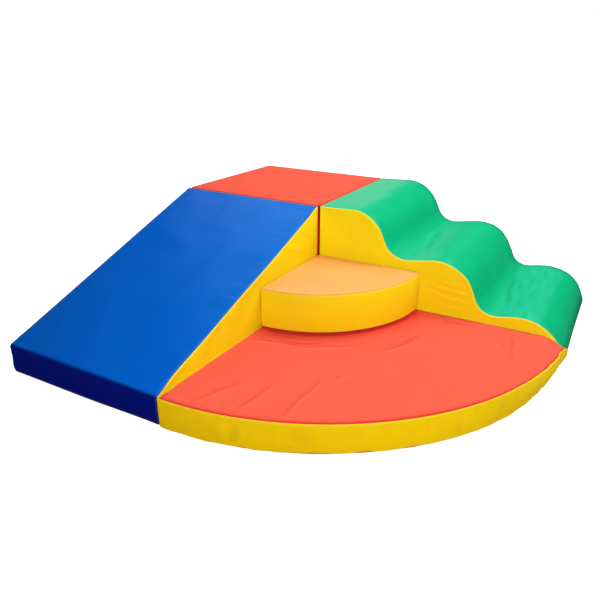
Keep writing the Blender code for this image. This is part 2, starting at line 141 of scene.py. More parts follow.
def graded(length, count, fine=4.0, reach=0.018):
    """Places from 0 to length, close together near both ends.

    The density is one, plus fine times an exponential that falls off over reach from
    each end. Equal steps of its running sum give the places.
    """
    s = np.linspace(0, length, SAMPLES)
    density = 1 + fine * (np.exp(-s / reach) + np.exp((s - length) / reach))
    total = np.concatenate([[0], np.cumsum((density[1:] + density[:-1]) / 2)])
    return np.interp(np.linspace(0, total[-1], count + 1), total, s)


def arc_length(points):
    """The running length at each point of a chain of points."""
    steps = np.linalg.norm(np.diff(points, axis=0), axis=1)
    return np.concatenate([[0], np.cumsum(steps)])


def resampled(points, stations):
    """The places on a chain at the given running lengths, by straight lines."""
    s = arc_length(points)
    return np.stack([np.interp(stations, s, axis) for axis in points.T], axis=1)


def four_sides(outline, marks, counts, upright=False):
    """The outline as four sides between its marks, opposite ones with equal counts.

    With upright set, the first side takes its places from the third, so that the
    lines between them stand upright.
    """
    twice = np.concatenate([outline, outline])
    sides = []
    for k in range(4):
        start, end = marks[k], marks[(k + 1) % 4]
        part = twice[start:end + 1 + (len(outline) if end <= start else 0)]
        sides.append(resampled(part, graded(arc_length(part)[-1], counts[k % 2])))
        if k == 0:
            base = part
    if upright:
        across = sides[2][::-1, 0]
        share = (across - across[0]) / (across[-1] - across[0])
        target = base[0, 0] + share * (base[-1, 0] - base[0, 0])
        sides[0] = np.stack([target, np.interp(target, base[:, 0], base[:, 1])], axis=1)
    return sides


# %% [markdown]
# One skin for each piece
#
# A sewn cover is a closed skin that is cut along its seams. We compute the whole skin
# first: two flat caps, a belt between them, and a rolled edge at each end of the belt.
# Later we cut it into panels, so two neighbours always meet exactly in their seam.
# A cap is a blend of its four sides, which also works on the wave's bent profile.

# %% The caps
CHUNK = 1500


def shares(line):
    """Each point's running length over the whole length of the line."""
    s = arc_length(line)
    return s / s[-1]


def coons(sides):
    """A grid of points inside four sides, which is the sum of both straight blends
    between opposite sides, less the blend of the four corners."""
    bottom, right, top, left = sides[0], sides[1], sides[2][::-1], sides[3][::-1]
    x = ((shares(bottom) + shares(top)) / 2)[:, None, None]
    y = ((shares(left) + shares(right)) / 2)[None, :, None]
    blend = (1 - y) * bottom[:, None] + y * top[:, None]
    blend = blend + (1 - x) * left[None] + x * right[None]
    corners = (1 - y) * ((1 - x) * bottom[0] + x * bottom[-1])
    return blend - corners - y * ((1 - x) * top[0] + x * top[-1])


def grid_faces(index):
    """Quads between the neighbours of a grid of vertex numbers."""
    quads = (index[:-1, :-1], index[1:, :-1], index[1:, 1:], index[:-1, 1:])
    return np.stack(quads, axis=-1).reshape(-1, 4)


def rim_of(index):
    """The vertex numbers round a grid, in the order of the outline."""
    return np.concatenate([index[:-1, 0], index[-1, :-1], index[:0:-1, -1], index[0, :0:-1]])


def nearest(points, line):
    """Distance from each point to the nearest point of a line, and that one's number. The
    points are taken a chunk at a time, which keeps the table of distances small."""
    gap, number = [], []
    for part in np.array_split(points, max(1, len(points) // CHUNK)):
        d = np.hypot(part[:, None, 0] - line[None, :, 0], part[:, None, 1] - line[None, :, 1])
        number.append(d.argmin(axis=1))
        gap.append(d.min(axis=1))
    return np.concatenate(gap), np.concatenate(number)


# %% [markdown]
# The rolled edge is a quarter circle. The seam lies somewhere on it: at the lean of 90
# degrees it would lie on the belt, and at 0 on the cap. Most yellow panels that are seen
# reach over the edge beside them, which gives a thin bright line of yellow there.

# %% Faces of a skin
ROLL_STEPS = 4


def skin_faces(n, m, rings, spans):
    """The faces of a skin, the number of each one's panel, and the vertex grids of all
    panels. 0 is the low cap, 1 the high cap, and 2 to 5 are the sides of the belt."""
    caps, count = (n + 1) * (m + 1), 2 * (n + m)
    low = np.arange(caps).reshape(n + 1, m + 1)
    high = low + caps + rings * count
    rows = [rim_of(low)] + [caps + k * count + np.arange(count) for k in range(rings)]
    rows.append(rim_of(high))
    faces = [grid_faces(low), grid_faces(high)]
    panels = [np.zeros(n * m, int), np.ones(n * m, int)]
    side_of = np.repeat([2, 3, 4, 5], [n, m, n, m])
    for k, (a, b) in enumerate(zip(rows, rows[1:])):
        faces.append(np.stack([a, np.roll(a, -1), np.roll(b, -1), b], axis=1))
        panels.append(np.zeros(count, int) if k < ROLL_STEPS
                      else np.ones(count, int) if k > rings - ROLL_STEPS else side_of)
    belt = caps + np.arange(rings * count).reshape(rings, count)
    belt = belt[ROLL_STEPS - 1:rings - ROLL_STEPS + 1]
    grids = [low, high] + [belt[:, np.arange(a, b + 1) % count] for a, b in spans]
    return np.concatenate(faces), np.concatenate(panels), grids


# %% [markdown]
# The points come in the same order: the low cap, the rings from below to above, and the
# high cap. Each point also learns how far it is from the next seams, since the relief and
# the finish both depend on that.

# %% The skin
FAR = 9.0


def make_skin(sides, depth, low_seam, high_seam, belt_step=0.007, edge=0.0045, seams=()):
    """The skin of an outline pushed along a depth, as points, normals and faces.

    A point of the rolled edge at angle t lies edge times (1 - sin t) inside the outline
    and edge times (1 - cos t) along the depth. Its normal is sin t times the outline's
    normal, less cos t times the direction of the depth. t is 90 degrees on the belt. The
    seams are the numbers of the outline's marks that an upright seam stands on.
    """
    n, m = len(sides[0]) - 1, len(sides[1]) - 1
    loop = np.concatenate([side[:-1] for side in sides])
    count = len(loop)
    tangent = unit(np.roll(loop, -1, 0) - np.roll(loop, 1, 0))
    normal = np.stack([tangent[:, 1], -tangent[:, 0]], axis=1)
    closed = np.concatenate([loop, loop[:1]])
    s, length = arc_length(closed)[:-1], arc_length(closed)[-1]
    corners = [0, n, n + m, 2 * n + m]
    spans = list(zip(corners, corners[1:] + [count]))
    inner = loop - edge * normal
    ring = np.concatenate([inner, inner[:1]])
    cap = coons([ring[a:b + 1] for a, b in spans])
    quarter = math.pi / 2
    low_seam, high_seam = (np.broadcast_to(np.radians(np.asarray(v, float)), (count,))
                           for v in (low_seam, high_seam))
    flat = depth - 2 * edge
    middle = graded(flat, max(4, round(flat / belt_step)), 2.5, 0.012)[1:-1]
    share = np.linspace(0, 1, ROLL_STEPS + 1)[1:, None]
    roll = np.concatenate([share * low_seam, low_seam + share * (quarter - low_seam)])
    back = math.pi - np.concatenate([share * high_seam,
                                     high_seam + share * (quarter - high_seam)])[::-1]
    turn = np.concatenate([roll, np.full((len(middle), count), quarter), back])
    w = np.concatenate([edge * (1 - np.cos(roll)),
                        np.broadcast_to(edge + middle[:, None], (len(middle), count)),
                        depth - edge * (1 + np.cos(back))])
    cross = np.where(turn < quarter, edge * turn, edge * quarter + w - edge)
    cross = np.where(turn > quarter, edge * quarter + flat + edge * (turn - quarter), cross)
    total = edge * math.pi + flat
    plane = loop - edge * (1 - np.sin(turn))[..., None] * normal
    rings = len(turn)

    # Flat lists of all vertices: low cap, rings, high cap
    inside = cap.reshape(-1, 2)
    gap, number = nearest(inside, inner)
    caps = len(inside)
    far = np.full(caps, FAR)
    depths = np.concatenate([np.zeros(caps), w.reshape(-1), np.full(caps, depth)])
    tilt = np.concatenate([np.zeros(caps), turn.reshape(-1), np.full(caps, math.pi)])
    out = np.concatenate([normal[number], np.tile(normal, (rings, 1)), normal[number]])
    along = np.concatenate([s[number], np.tile(s, rings), s[number]])
    to_low, to_high = cross - edge * low_seam, total - edge * high_seam - cross
    on_belt = (to_low >= -1e-9) & (to_high >= -1e-9)
    low_gap = np.concatenate([edge * low_seam[number] + gap, np.abs(to_low).reshape(-1), far])
    high_gap = np.concatenate([far, np.abs(to_high).reshape(-1), edge * high_seam[number] + gap])
    to_cross_seam = np.full(count, FAR)
    for mark in seams:
        step = np.abs(s - s[corners[mark]])
        to_cross_seam = np.minimum(to_cross_seam, np.minimum(step, length - step))
    crossing = np.where(on_belt, to_cross_seam[None], FAR).reshape(-1)
    upon = np.where(on_belt, np.clip(to_low / np.maximum(to_low + to_high, 1e-9), 0, 1), 0)
    zone = np.where(on_belt, 0, np.where(to_low < 0, -1, 1)).reshape(-1)
    faces, panels, grids = skin_faces(n, m, rings, spans)
    vertices = 2 * caps + rings * count
    return SimpleNamespace(
        plane=np.concatenate([inside, plane.reshape(-1, 2), inside]), depth=depths,
        tilt=tilt, out=out, along=along, corners=s[corners], high_gap=high_gap,
        seam=np.minimum(low_gap, high_gap), crossing=np.concatenate([far, crossing, far]),
        zone=np.concatenate([-1 - 0 * far, zone, 1 + 0 * far]),
        upon=np.concatenate([0 * far, upon.reshape(-1), 0 * far]),
        faces=faces, panels=panels, grids=grids, rim=np.zeros(vertices),
        shade=np.zeros(vertices))


# %% [markdown]
# Into the room
#
# A skin is worked out in its own plane. Three unit vectors and an origin put it into the
# room. The ramp's profile runs towards -Y and the wave's towards +X.

# %% From the plane to the room
def place(skin, origin, first, second, third):
    """Points and normals in the room: origin plus each plane coordinate times its axis."""
    axes = np.array((first, second, third), float)
    sine, cosine = np.sin(skin.tilt), np.cos(skin.tilt)
    skin.point = np.array(origin) + np.column_stack([skin.plane, skin.depth]) @ axes
    skin.normal = np.column_stack([skin.out * sine[:, None], -cosine]) @ axes
    return skin


# %% [markdown]
# Soft relief
#
# Coated fabric over foam is never quite flat. It swells between its seams, it puckers
# along them, and handling leaves long soft folds. Each of these is a height along the
# skin's normal, and they are simply added up. They could be sculpted by hand, but a formula
# can be read, and it still fits when a size changes. Three small functions are the base.

# %% A bell, a smooth step and ripples
def bell(x, width):
    """1 at zero, falling on both sides like e to the minus square of x over width."""
    return np.exp(-(x / width) ** 2)


def ramped(x):
    """A smooth step from 0 to 1 as x goes from 0 to 1."""
    x = np.clip(x, 0, 1)
    return x * x * (3 - 2 * x)


def ripples(points, wavelength, seed, count=9):
    """A smooth random surface: the mean of cosines with random directions, and with
    lengths from 0.7 to 1.5 times the given one. It stays near -1 to 1."""
    rng = np.random.default_rng(seed)
    directions = unit(rng.normal(size=(count, points.shape[1])))
    waves = directions * (2 * math.pi / (wavelength * rng.uniform(0.7, 1.5, (count, 1))))
    return np.cos(points @ waves.T + rng.uniform(0, 2 * math.pi, count)).sum(1) / count ** 0.5


# %% [markdown]
# A fold is a stroke on the flat pattern. Each fold also leaves its mark in the finish: a
# painted highlight on its ridge and painted shade in its valley.

# %% Folds and their painted light and shade
def folds(points, strokes):
    """Soft ridges and dents, each given by its two ends, bow, width and height.

    Across the stroke the height is a bell, less a lower bell beside it, because fabric
    that rises in one place is pulled in next to it. Along the stroke it is a sine.
    """
    height = np.zeros(len(points))
    for x0, y0, x1, y1, bow, width, lift in strokes:
        way = np.array((x1 - x0, y1 - y0))
        size = np.hypot(*way)
        offset = points - (x0, y0)
        t = offset @ way / size ** 2
        across = offset @ np.array((-way[1], way[0])) / size - bow * 4 * t * (1 - t)
        profile = bell(across, width) - 0.6 * bell(across - 1.7 * width, width)
        height += lift * np.sin(math.pi * np.clip(t, 0, 1)) ** 0.8 * profile
    return height


def paint_fold_light_and_shade(skin, height, strength=0.4):
    """Paint the ridges pale as a painted highlight and the valleys dark as painted shade.
    Both shares grow with the height and stop at the given strength."""
    skin.rim += strength * np.clip(height / 0.004, 0, 1)
    skin.shade += strength * np.clip(-height / 0.002, 0, 1)
    return height


# %% [markdown]
# A seam draws the fabric in. Beside it the fabric gathers in small puckers, and away from
# it the foam pushes the panel out. All of that hangs on the distance to the seam, which
# the skin knows at every vertex.

# %% Grooves, puckers and swells
GROOVE_DEPTH, GROOVE_HALF = 0.0009, 0.0012


def groove(skin):
    """The seam's groove: a bell over the distance to the nearest seam."""
    return -GROOVE_DEPTH * bell(np.minimum(skin.seam, skin.crossing), GROOVE_HALF)


def puckers(skin, height, wavelength, seed, reach=0.016):
    """Gathers across a seam: waves along it that rise and fade over reach."""
    wave = ripples(np.column_stack([skin.along, skin.depth * 0.15]), wavelength, seed, 7)
    return height * wave * (skin.seam / reach) * np.exp(1 - skin.seam / reach)


def calm(skin, reach=0.012):
    """A mask that is 0 in every seam and 1 away from it."""
    return 1 - bell(np.minimum(skin.seam, skin.crossing), reach)


def cushion(gap, height, reach):
    """A swell that rises from a seam: height times one less e to minus gap over reach."""
    return height * (1 - np.exp(-gap / reach))


def crown(across, share, height):
    """A swell of a long panel: height times one less the third power of the way from the
    middle to a side, times one less the fourth power of the way to an end."""
    return height * (1 - np.abs(2 * across - 1) ** 3) * (1 - np.abs(2 * share - 1) ** 4)


def band_bulge(skin):
    """A parabola up the height of a band, which dies away at its upright seams."""
    return 4 * skin.upon * (1 - skin.upon) * (1 - np.exp(-skin.crossing / 0.03))


# %% [markdown]
# Where a zip or a strip is sewn on, the fabric lies level, and nothing goes below the
# floor. So the relief is masked before it is added to the skin.

# %% Level places, and the relief on the skin
def quiet(skin, nodes, reach):
    """A mask that is 0 on a node's box, where a zip or strip is sewn on, and 1 away."""
    mask = np.ones(len(skin.point))
    for node in nodes:
        low, high = box(node)
        gap = np.maximum(np.maximum(low - skin.point, skin.point - high), 0)
        mask *= 1 - bell(np.linalg.norm(gap, axis=1), reach)
    return mask


def lifted(skin, relief, nodes, reach, floor=0.0):
    """Move the skin along its normals by the relief, level near what is sewn on, and
    never below its floor. The relief that is left is handed back."""
    skin.still = quiet(skin, nodes, reach)
    relief = relief * skin.still
    skin.final = skin.point + relief[:, None] * skin.normal
    skin.final[:, 2] = np.maximum(skin.final[:, 2], floor)
    return relief


# %% [markdown]
# From a skin to sewn panels
#
# The skin is cut by its panel numbers. Each panel keeps its own vertices, and a Solidify
# modifier gives it the thickness of coated fabric. Three numbers are stored on the
# vertices, because the finish changes with them: the distance to the seam, how much painted
# highlight and sheen a place has, and how much painted shade it has in a fold, in a corner
# or beside a seam.

# %% Mesh helpers
FABRIC = 0.0008
BODIES = {"block": "corner_block"}
made = {}


def mesh_object(name, points, faces, attributes=None):
    """A mesh object with smooth faces, its place in its vertices."""
    mesh = bpy.data.meshes.new(name)
    mesh.from_pydata(points.tolist(), [], faces if isinstance(faces, list) else faces.tolist())
    for key, values in (attributes or {}).items():
        layer = mesh.attributes.new(key, "FLOAT", "POINT")
        layer.data.foreach_set("value", np.asarray(values, np.float32))
    mesh.shade_smooth()
    obj = bpy.data.objects.new(name, mesh)
    bpy.context.scene.collection.objects.link(obj)
    return obj


def facing(points, faces, normals):
    """The faces, each turned round where it looks against its vertex normals. A face looks
    along the cross product of its diagonals."""
    a, b, c, d = (points[faces[:, k]] for k in range(4))
    look = (np.cross(c - a, d - b) * normals[faces].sum(1)).sum(1)
    return np.where((look > 0)[:, None], faces, faces[:, ::-1])


def thicken(obj, thickness):
    """Give a sheet its thickness, inwards from its outer face."""
    solid = obj.modifiers.new("thickness", "SOLIDIFY")
    solid.thickness, solid.offset = thickness, -1


def enlist(obj, body, slot, nodes=()):
    """A finished piece rides on its body, and stands for the given nodes."""
    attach(obj, body)
    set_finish(obj, slot)
    if nodes:
        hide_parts(*nodes)
    made[obj.name] = obj
    return obj


# %% [markdown]
# Every cover is cut in the same way, so a list of its panels is enough. The names of the
# panel, of its colour and of the node that it replaces all follow from it.

# %% Cut a cover into its panels
NODE_ENDS = {"sides": "side_band", "band": "arc_band"}


def panel_faces(skin, panels=range(6)):
    """The faces of some panels, or of the whole skin, all of them looking outwards."""
    return np.concatenate([facing(skin.point, skin.faces[skin.panels == p], skin.normal)
                           for p in panels])


def cut_panel(skin, name, panels, body, slot, nodes):
    """One panel of the skin as a piece of fabric that rides on a body."""
    faces = panel_faces(skin, panels)
    used, new = np.unique(faces, return_inverse=True)
    seam = np.minimum(skin.seam, skin.crossing)[used]
    obj = mesh_object(name, skin.final[used], new.reshape(-1, 4),
                      {"seam": seam, "rim": skin.rim[used].clip(0, 1),
                       "shade": skin.shade[used].clip(0, 1)})
    enlist(obj, body, slot, nodes)
    print(f"{name}: {len(faces)} faces")


def cut_cover(skin, piece, panels):
    """All panels of a cover, each given by its name, its colour and its numbers."""
    for name, colour, *numbers in panels:
        cut_panel(skin, f"cover_{piece}_{name}", numbers, BODIES.get(piece, piece),
                  f"{colour}_vinyl", [f"{piece}_{NODE_ENDS.get(name, name + '_panel')}"])


# %% [markdown]
# Cloth that is a little too large
#
# A cover is sewn slightly larger than its foam, or it could not be pulled on. The spare
# fabric rises in low wrinkles. Blender's cloth solver finds them: the sheet grows by some
# thousandths, its seams are held, and everywhere else weak pins stand for the foam that
# carries it. A coarse grid is enough, because the wrinkles are wide. We keep only a part of
# the rise, and never more than a limit.

# %% The solver
CLOTH_FRAMES = 20
PIN_LEVELS = 50


def solve_cloth(points, faces, hold, growth):
    """Where the sheet's points are after twenty frames of the cloth solver."""
    sheet = mesh_object("sheet", points, faces)
    group = sheet.vertex_groups.new(name="hold")
    level = np.round(hold * PIN_LEVELS).astype(int)
    for k in np.unique(level):
        group.add(np.flatnonzero(level == k).tolist(), float(k) / PIN_LEVELS, "REPLACE")
    cloth = sheet.modifiers.new("cloth", "CLOTH").settings
    cloth.vertex_group_mass = "hold"
    cloth.quality, cloth.mass, cloth.bending_stiffness = 4, 0.3, 5.0
    cloth.shrink_min = -growth
    cloth.use_pressure, cloth.uniform_pressure_force = True, 0.02
    cloth.effector_weights.gravity = 0
    for number in range(1, CLOTH_FRAMES + 1):
        bpy.context.scene.frame_set(number)
    graph = bpy.context.evaluated_depsgraph_get()
    result = np.empty(len(points) * 3, np.float32)
    sheet.evaluated_get(graph).to_mesh().vertices.foreach_get("co", result)
    mesh = sheet.data
    bpy.data.objects.remove(sheet)
    bpy.data.meshes.remove(mesh)
    bpy.context.scene.frame_set(1)
    return result.reshape(-1, 3)


# %% [markdown]
# The sheet is every second row and column of the skin's own grid. What it finds is carried
# back to all rows and columns by straight lines.

# %% Wrinkles by simulation
FOAM_HOLD, KEEP, LIMIT = 0.12, 0.6, 0.0016


def halved(count):
    """Every second station of a row, with the last one, but all of them in a short row."""
    if count < 24:
        return np.arange(count)
    return np.unique(np.append(np.arange(0, count, 2), count - 1))


def carried(count, stations):
    """The weights that take values at some stations to all places of a row."""
    return np.stack([np.interp(np.arange(count), stations, one) for one in np.eye(len(stations))],
                    axis=1)


def wrinkle(skin, panels, growth=0.002, held=None):
    """Add the rise that the cloth solver finds to one sheet of the skin.

    The rise is the part of the move along the normal. It goes from the coarse grid to the
    full one by straight lines in both directions, and is kept below the limit by a tanh.
    """
    grid = np.hstack([skin.grids[panels[0]]] + [skin.grids[p][:, 1:] for p in panels[1:]])
    rows, columns = halved(grid.shape[0]), halved(grid.shape[1])
    coarse = grid[rows][:, columns]
    numbers, shape = coarse.reshape(-1), coarse.shape
    edge = np.ones(shape)
    edge[1:-1, 1:-1] = 0
    near = np.minimum(skin.seam, skin.crossing)[numbers]
    hold = np.clip(np.maximum(edge.reshape(-1), bell(near, 0.008)), FOAM_HOLD, 1)
    if held is not None:
        hold = np.maximum(hold, held[numbers])
    faces = grid_faces(np.arange(len(numbers)).reshape(shape))
    faces = facing(skin.final[numbers], faces, skin.normal[numbers])
    moved = solve_cloth(skin.final[numbers], faces, hold, growth) - skin.final[numbers]
    rise = (moved * skin.normal[numbers]).sum(1).reshape(shape)
    full = carried(grid.shape[0], rows) @ rise @ carried(grid.shape[1], columns).T
    full = full - full.mean()
    rise = LIMIT * np.tanh(KEEP * full / LIMIT) * calm(skin)[grid] * skin.still[grid]
    skin.final[grid] += rise[..., None] * skin.normal[grid]
    print(f"cloth on {len(numbers)} points, up to {np.abs(rise).max() * 1000:.1f} mm")


# %% [markdown]
# The block
#
# The block is the highest piece, and the ramp and the wave stand against it. Its red top
# swells by five millimetres, and its side band runs round all four sides with one upright
# closing seam at the rear. A bevelled cube would look much the same from afar, but then its
# seams and its panels would need work of their own. The block and the ramp are a little too
# full at their free left side, as foam cut by hand often is.

# %% Fuller at the left
def fuller(skin, across, rearward):
    """The block and the ramp are a little too full at their free left side. The lift at
    the top is 7 mm at the left and 1.5 mm at the right, or 4.5 mm and none at the rear."""
    lift = (1 - across) * (0.007 - 0.0025 * rearward) + across * 0.0015 * (1 - rearward)
    skin.final[:, 2] += lift * np.clip(skin.final[:, 2] / HEIGHT, 0, 1)


# %% [markdown]
# The block is a square pushed upwards. Its relief is a sum of the groove, the swell of the
# top, some ripples and the puckers, and it goes onto the skin in one step.

# %% Block
block_outline, block_marks = rounded_path(
    [(0, 0), (WIDTH, 0), (WIDTH, WIDTH), (0, WIDTH)], [0.009] * 4)
block = make_skin(four_sides(block_outline, block_marks, (90, 90)), HEIGHT,
                  low_seam=35, high_seam=42, seams=(3,))
place(block, (block_low[0], block_low[1], 0), (1, 0, 0), (0, 1, 0), (0, 0, 1))
x, y = block.plane.T
top = block.zone == 1
relief = groove(block) + np.where(top, cushion(block.seam, 0.005, 0.085), 0)
relief += np.where(top, 0.00045, 0.0001) * calm(block, 0.03) * ripples(block.point, 0.16, 3)
relief += np.where(top, 1, 0.3) * puckers(block, 0.0004, 0.034, 5)
lifted(block, relief, ["block_zip_tape"], 0.02)
fuller(block, *np.clip((x / WIDTH, y / WIDTH), 0, 1))
block.final[:, 0] += 0.004 * ramped(y / WIDTH * 1.4 - 0.4) * ramped(x / WIDTH * 3 - 2)

# %% [markdown]
# The notch at the inside corner lies in the shade between the ramp and the wave, so it is
# marked dark with painted shade, and darker on its wave side. A thin line along the top's
# seam gets painted shade too.

# %% Painted shade, wrinkles and panels of the block
block.shade = 1.4 * bell(np.hypot(x - WIDTH + 0.003, y), 0.010) * (block.zone == 0)
block.shade *= 0.4 + 0.6 * ramped(0.5 + 0.7 * (block.normal[:, 0] + block.normal[:, 1]))
block.shade += 0.6 * top * bell(block.seam, 0.0035)
for panel in (1, 2, 3, 4, 5):
    wrinkle(block, [panel])
cut_cover(block, "block", [("top", "red", 1), ("sides", "red", 2, 3, 4, 5), ("base", "red", 0)])

# %% [markdown]
# The ramp
#
# The ramp's profile is a wedge with an upright lip at its low end. One blue panel runs up
# the lip and over the slope. Along the slope the yellow side panels roll over its edge, and
# at the lip the blue reaches right round the corner, so the seam's lean changes there.

# %% Skin of the ramp
LIP_LEAN, SLOPE_LEAN = 12, 72
ramp_outline, ramp_marks = rounded_path(
    [(0, 0), (RUN, 0), (RUN, LOW_HEIGHT), (0, HEIGHT)], [0.0075, 0.0075, 0.014, 0.005])
ramp_sides = four_sides(ramp_outline, ramp_marks, (140, 60), upright=True)
loop = np.concatenate([side[:-1] for side in ramp_sides])
from_lip = np.hypot(*(loop - (RUN, LOW_HEIGHT)).T)
on_lip = (loop[:, 0] > RUN - 0.02) & (loop[:, 1] > 0.004) & (loop[:, 1] < LOW_HEIGHT + 0.02)
to_slope = LIP_LEAN + (SLOPE_LEAN - LIP_LEAN) * ramped(from_lip / 0.07 - 0.2)
lean = np.where(on_lip | (loop[:, 1] > LOW_HEIGHT), to_slope, SLOPE_LEAN)
lean = np.where(on_lip & (loop[:, 0] > RUN - 0.004), LIP_LEAN, lean)
ramp = make_skin(ramp_sides, WIDTH, lean, lean, seams=(0, 1, 3))
place(ramp, (ramp_low[0], ramp_high[1], 0), (0, -1, 0), (0, 0, 1), (1, 0, 0))
print(f"ramp: {len(ramp.point)} points in its skin")

# %% [markdown]
# The slope swells like a mattress. The inner side has five long creases in its upper half,
# near the block, where the cover is pulled tight over the highest corner of the foam.

# %% Relief of the ramp
def long_panel(skin):
    """How far along a long panel a place lies, and how far across, from 0 to 1."""
    start, end = skin.corners[2:4]
    return np.clip((skin.along - start) / (end - start), 0, 1), np.clip(skin.depth / WIDTH, 0, 1)


u, v = ramp.plane.T
share, across = long_panel(ramp)
slope = (ramp.zone == 0) & (ramp.along > ramp.corners[1])
free_side, inner_side = ramp.zone == -1, ramp.zone == 1
seen = slope | free_side
relief = groove(ramp) + np.where(slope, crown(across, share, 0.005), 0)
relief += np.where(free_side, cushion(ramp.seam, 0.003, 0.07), 0)
relief += np.where(seen, 0.0005, 0.0001) * calm(ramp, 0.03) * ripples(ramp.point, 0.19, 11)
relief += np.where(seen, 1, 0.4) * puckers(ramp, 0.0005, 0.03, 13)
ramp_folds = [(0.238, 0.318, 0.091, 0.276, 0.004, 0.0055, 0.0020),
              (0.232, 0.297, 0.150, 0.266, -0.003, 0.0050, 0.0015),
              (0.302, 0.293, 0.185, 0.272, 0.003, 0.0055, 0.0012),
              (0.135, 0.363, 0.047, 0.311, 0.004, 0.0060, 0.0012),
              (0.090, 0.345, 0.020, 0.262, -0.004, 0.0060, 0.0010)]
creases = np.where(inner_side, folds(ramp.plane, ramp_folds) * calm(ramp, 0.02), 0)
relief += paint_fold_light_and_shade(ramp, creases)
lifted(ramp, relief, ["ramp_zip_tape", "ramp_hook_to_low_step"], 0.02)

# %% [markdown]
# The blue is painted paler towards the top of the inner side, as painted sheen and light,
# and darker towards the lip's outer corner, as painted shade. The whole inner side gets a
# little painted shade, and a thin line along the slope's seams a painted highlight. Then the
# whole piece is bent a little: the outer side leans out above its zip, the inner side bows,
# and the foot of the lip is pushed about.

# %% Painted light and shade, bends and panels of the ramp
def near_floor(skin, height, power=1.0):
    """1 at the floor and 0 above a height: the rest of the way up, to a power."""
    return (1 - skin.point[:, 2] / height).clip(0, 1) ** power


used = np.where(slope & (share > 0), 0.55 * share + 0.45 * across, 0.4)
ramp.rim += 0.6 * ramped((used - 0.40) / 0.6)
ramp.shade += 0.25 * ramped((0.40 - used) / 0.35) + np.where(inner_side, 0.10, 0)
on_edge = (ramp.along > ramp.corners[2]) * ramped((v - 0.09) / 0.02)
ramp.rim += 0.8 * bell(ramp.seam, 0.0030) * on_edge
fuller(ramp, across, 0)
clear_of_zip = np.maximum(ramped((v - 0.060) / 0.03), 0.75 * ramped((u - 0.76) / 0.08))
ramp.final[:, 0] -= 0.006 * bell(ramp.depth, 0.06) * clear_of_zip
inner = ramped(across * 2 - 1) * ramp.still
ramp.final[:, 0] -= 0.003 * bell(u - 0.80, 0.07) * inner
ramp.final[:, 0] += 0.003 * ramped((v - 0.22) / 0.08) * ramped((u - 0.02) / 0.06) * inner
ramp.final[:, 1] -= 0.0025 * bell(u, 0.006) * bell(ramp.depth - WIDTH, 0.012)
lip_foot = ramped((u - RUN + 0.05) / 0.045) * near_floor(ramp, 0.055, 1.2)
ramp.final[:, 1] -= 0.005 * lip_foot * ramped((0.56 - ramp.depth) / 0.25)
at_lip = ramped((u - RUN + 0.10) / 0.08) * near_floor(ramp, 0.028, 2)
ramp.final[:, 0] += 0.012 * at_lip * bell(ramp.depth, 0.020)
for panel in (0, 1, 4):
    wrinkle(ramp, [panel])
cut_cover(ramp, "ramp", [("slide", "blue", 3, 4), ("inner_side", "yellow", 1),
                         ("outer_side", "yellow", 0), ("back", "yellow", 5),
                         ("base", "yellow", 2)])

# %% [markdown]
# The wave slide
#
# The wave starts level, falls over a first crest and rises into two more. Its profile is a
# chain of straight faces whose corners have large radii, alternately up and down.

# %% The wave's profile
TIP_SPAN = 11
LAST_FACE, PITCH, FIRST_DROP, SECOND_DROP = 0.054, 0.315, 0.121, 0.149
FALL, RISE = math.tan(math.radians(63)), math.tan(math.radians(9))
crests = np.array([(RUN - LAST_FACE, HEIGHT - FIRST_DROP - SECOND_DROP),
                   (RUN - LAST_FACE - PITCH, HEIGHT - FIRST_DROP),
                   (RUN - LAST_FACE - 2 * PITCH, HEIGHT)])


def trough(high, low):
    """Where the steep face below one crest meets the gentle rise to the next."""
    run = (high[1] - low[1] + (low[0] - high[0]) * RISE) / (FALL + RISE)
    return high[0] + run, high[1] - run * FALL


wave_outline, wave_marks = rounded_path(
    [(0, 0), (RUN + 0.002, 0), crests[0], trough(crests[1], crests[0]), crests[1],
     trough(crests[2], crests[1]), crests[2], (0, HEIGHT)],
    [0.0075, 0.0075, 0.141, 0.077, 0.141, 0.077, 0.141, 0.005])
tip = wave_marks[1]
wave_sides = four_sides(wave_outline,
                        [wave_marks[0], tip - TIP_SPAN, tip + TIP_SPAN, wave_marks[-1]],
                        (170, 56), upright=True)
print("wave outline points:", sum(map(len, wave_sides)))

# %% [markdown]
# The green top swells between its seams and has shallow dents just past each trough. The
# front side has two strong creases under the second crest and a few faint ones.

# %% Relief of the wave
wave = make_skin(wave_sides, WIDTH, low_seam=74, high_seam=20, seams=(0, 1, 3))
place(wave, (wave_low[0], wave_low[1], 0), (1, 0, 0), (0, 0, 1), (0, 1, 0))
u, v = wave.plane.T
share, across = long_panel(wave)
on_panel = (wave.along > wave.corners[1]) & (wave.along < wave.corners[3])
over, front, rear = (wave.zone == 0) & on_panel, wave.zone == -1, wave.zone == 1
seen = over | rear
relief = groove(wave) + np.where(over, crown(across, share, 0.0075), 0)
relief += np.where(rear, cushion(wave.seam, 0.003, 0.07), 0)
relief += np.where(seen, 0.0006, 0.00015) * calm(wave, 0.03) * ripples(wave.point, 0.17, 21)
relief += np.where(seen, 1, 0.4) * puckers(wave, 0.0006, 0.03, 23)
top_folds = [(0.395, 0.05, 0.345, 0.42, 0.010, 0.010, -0.0016),
             (0.375, 0.18, 0.330, 0.50, -0.006, 0.008, -0.0010),
             (0.690, 0.06, 0.650, 0.44, 0.010, 0.010, -0.0018),
             (0.665, 0.20, 0.620, 0.55, -0.008, 0.008, -0.0010)]
on_top = np.column_stack([u, wave.depth])
relief += paint_fold_light_and_shade(wave, np.where(over, folds(on_top, top_folds) * calm(wave, 0.02), 0), 0.3)
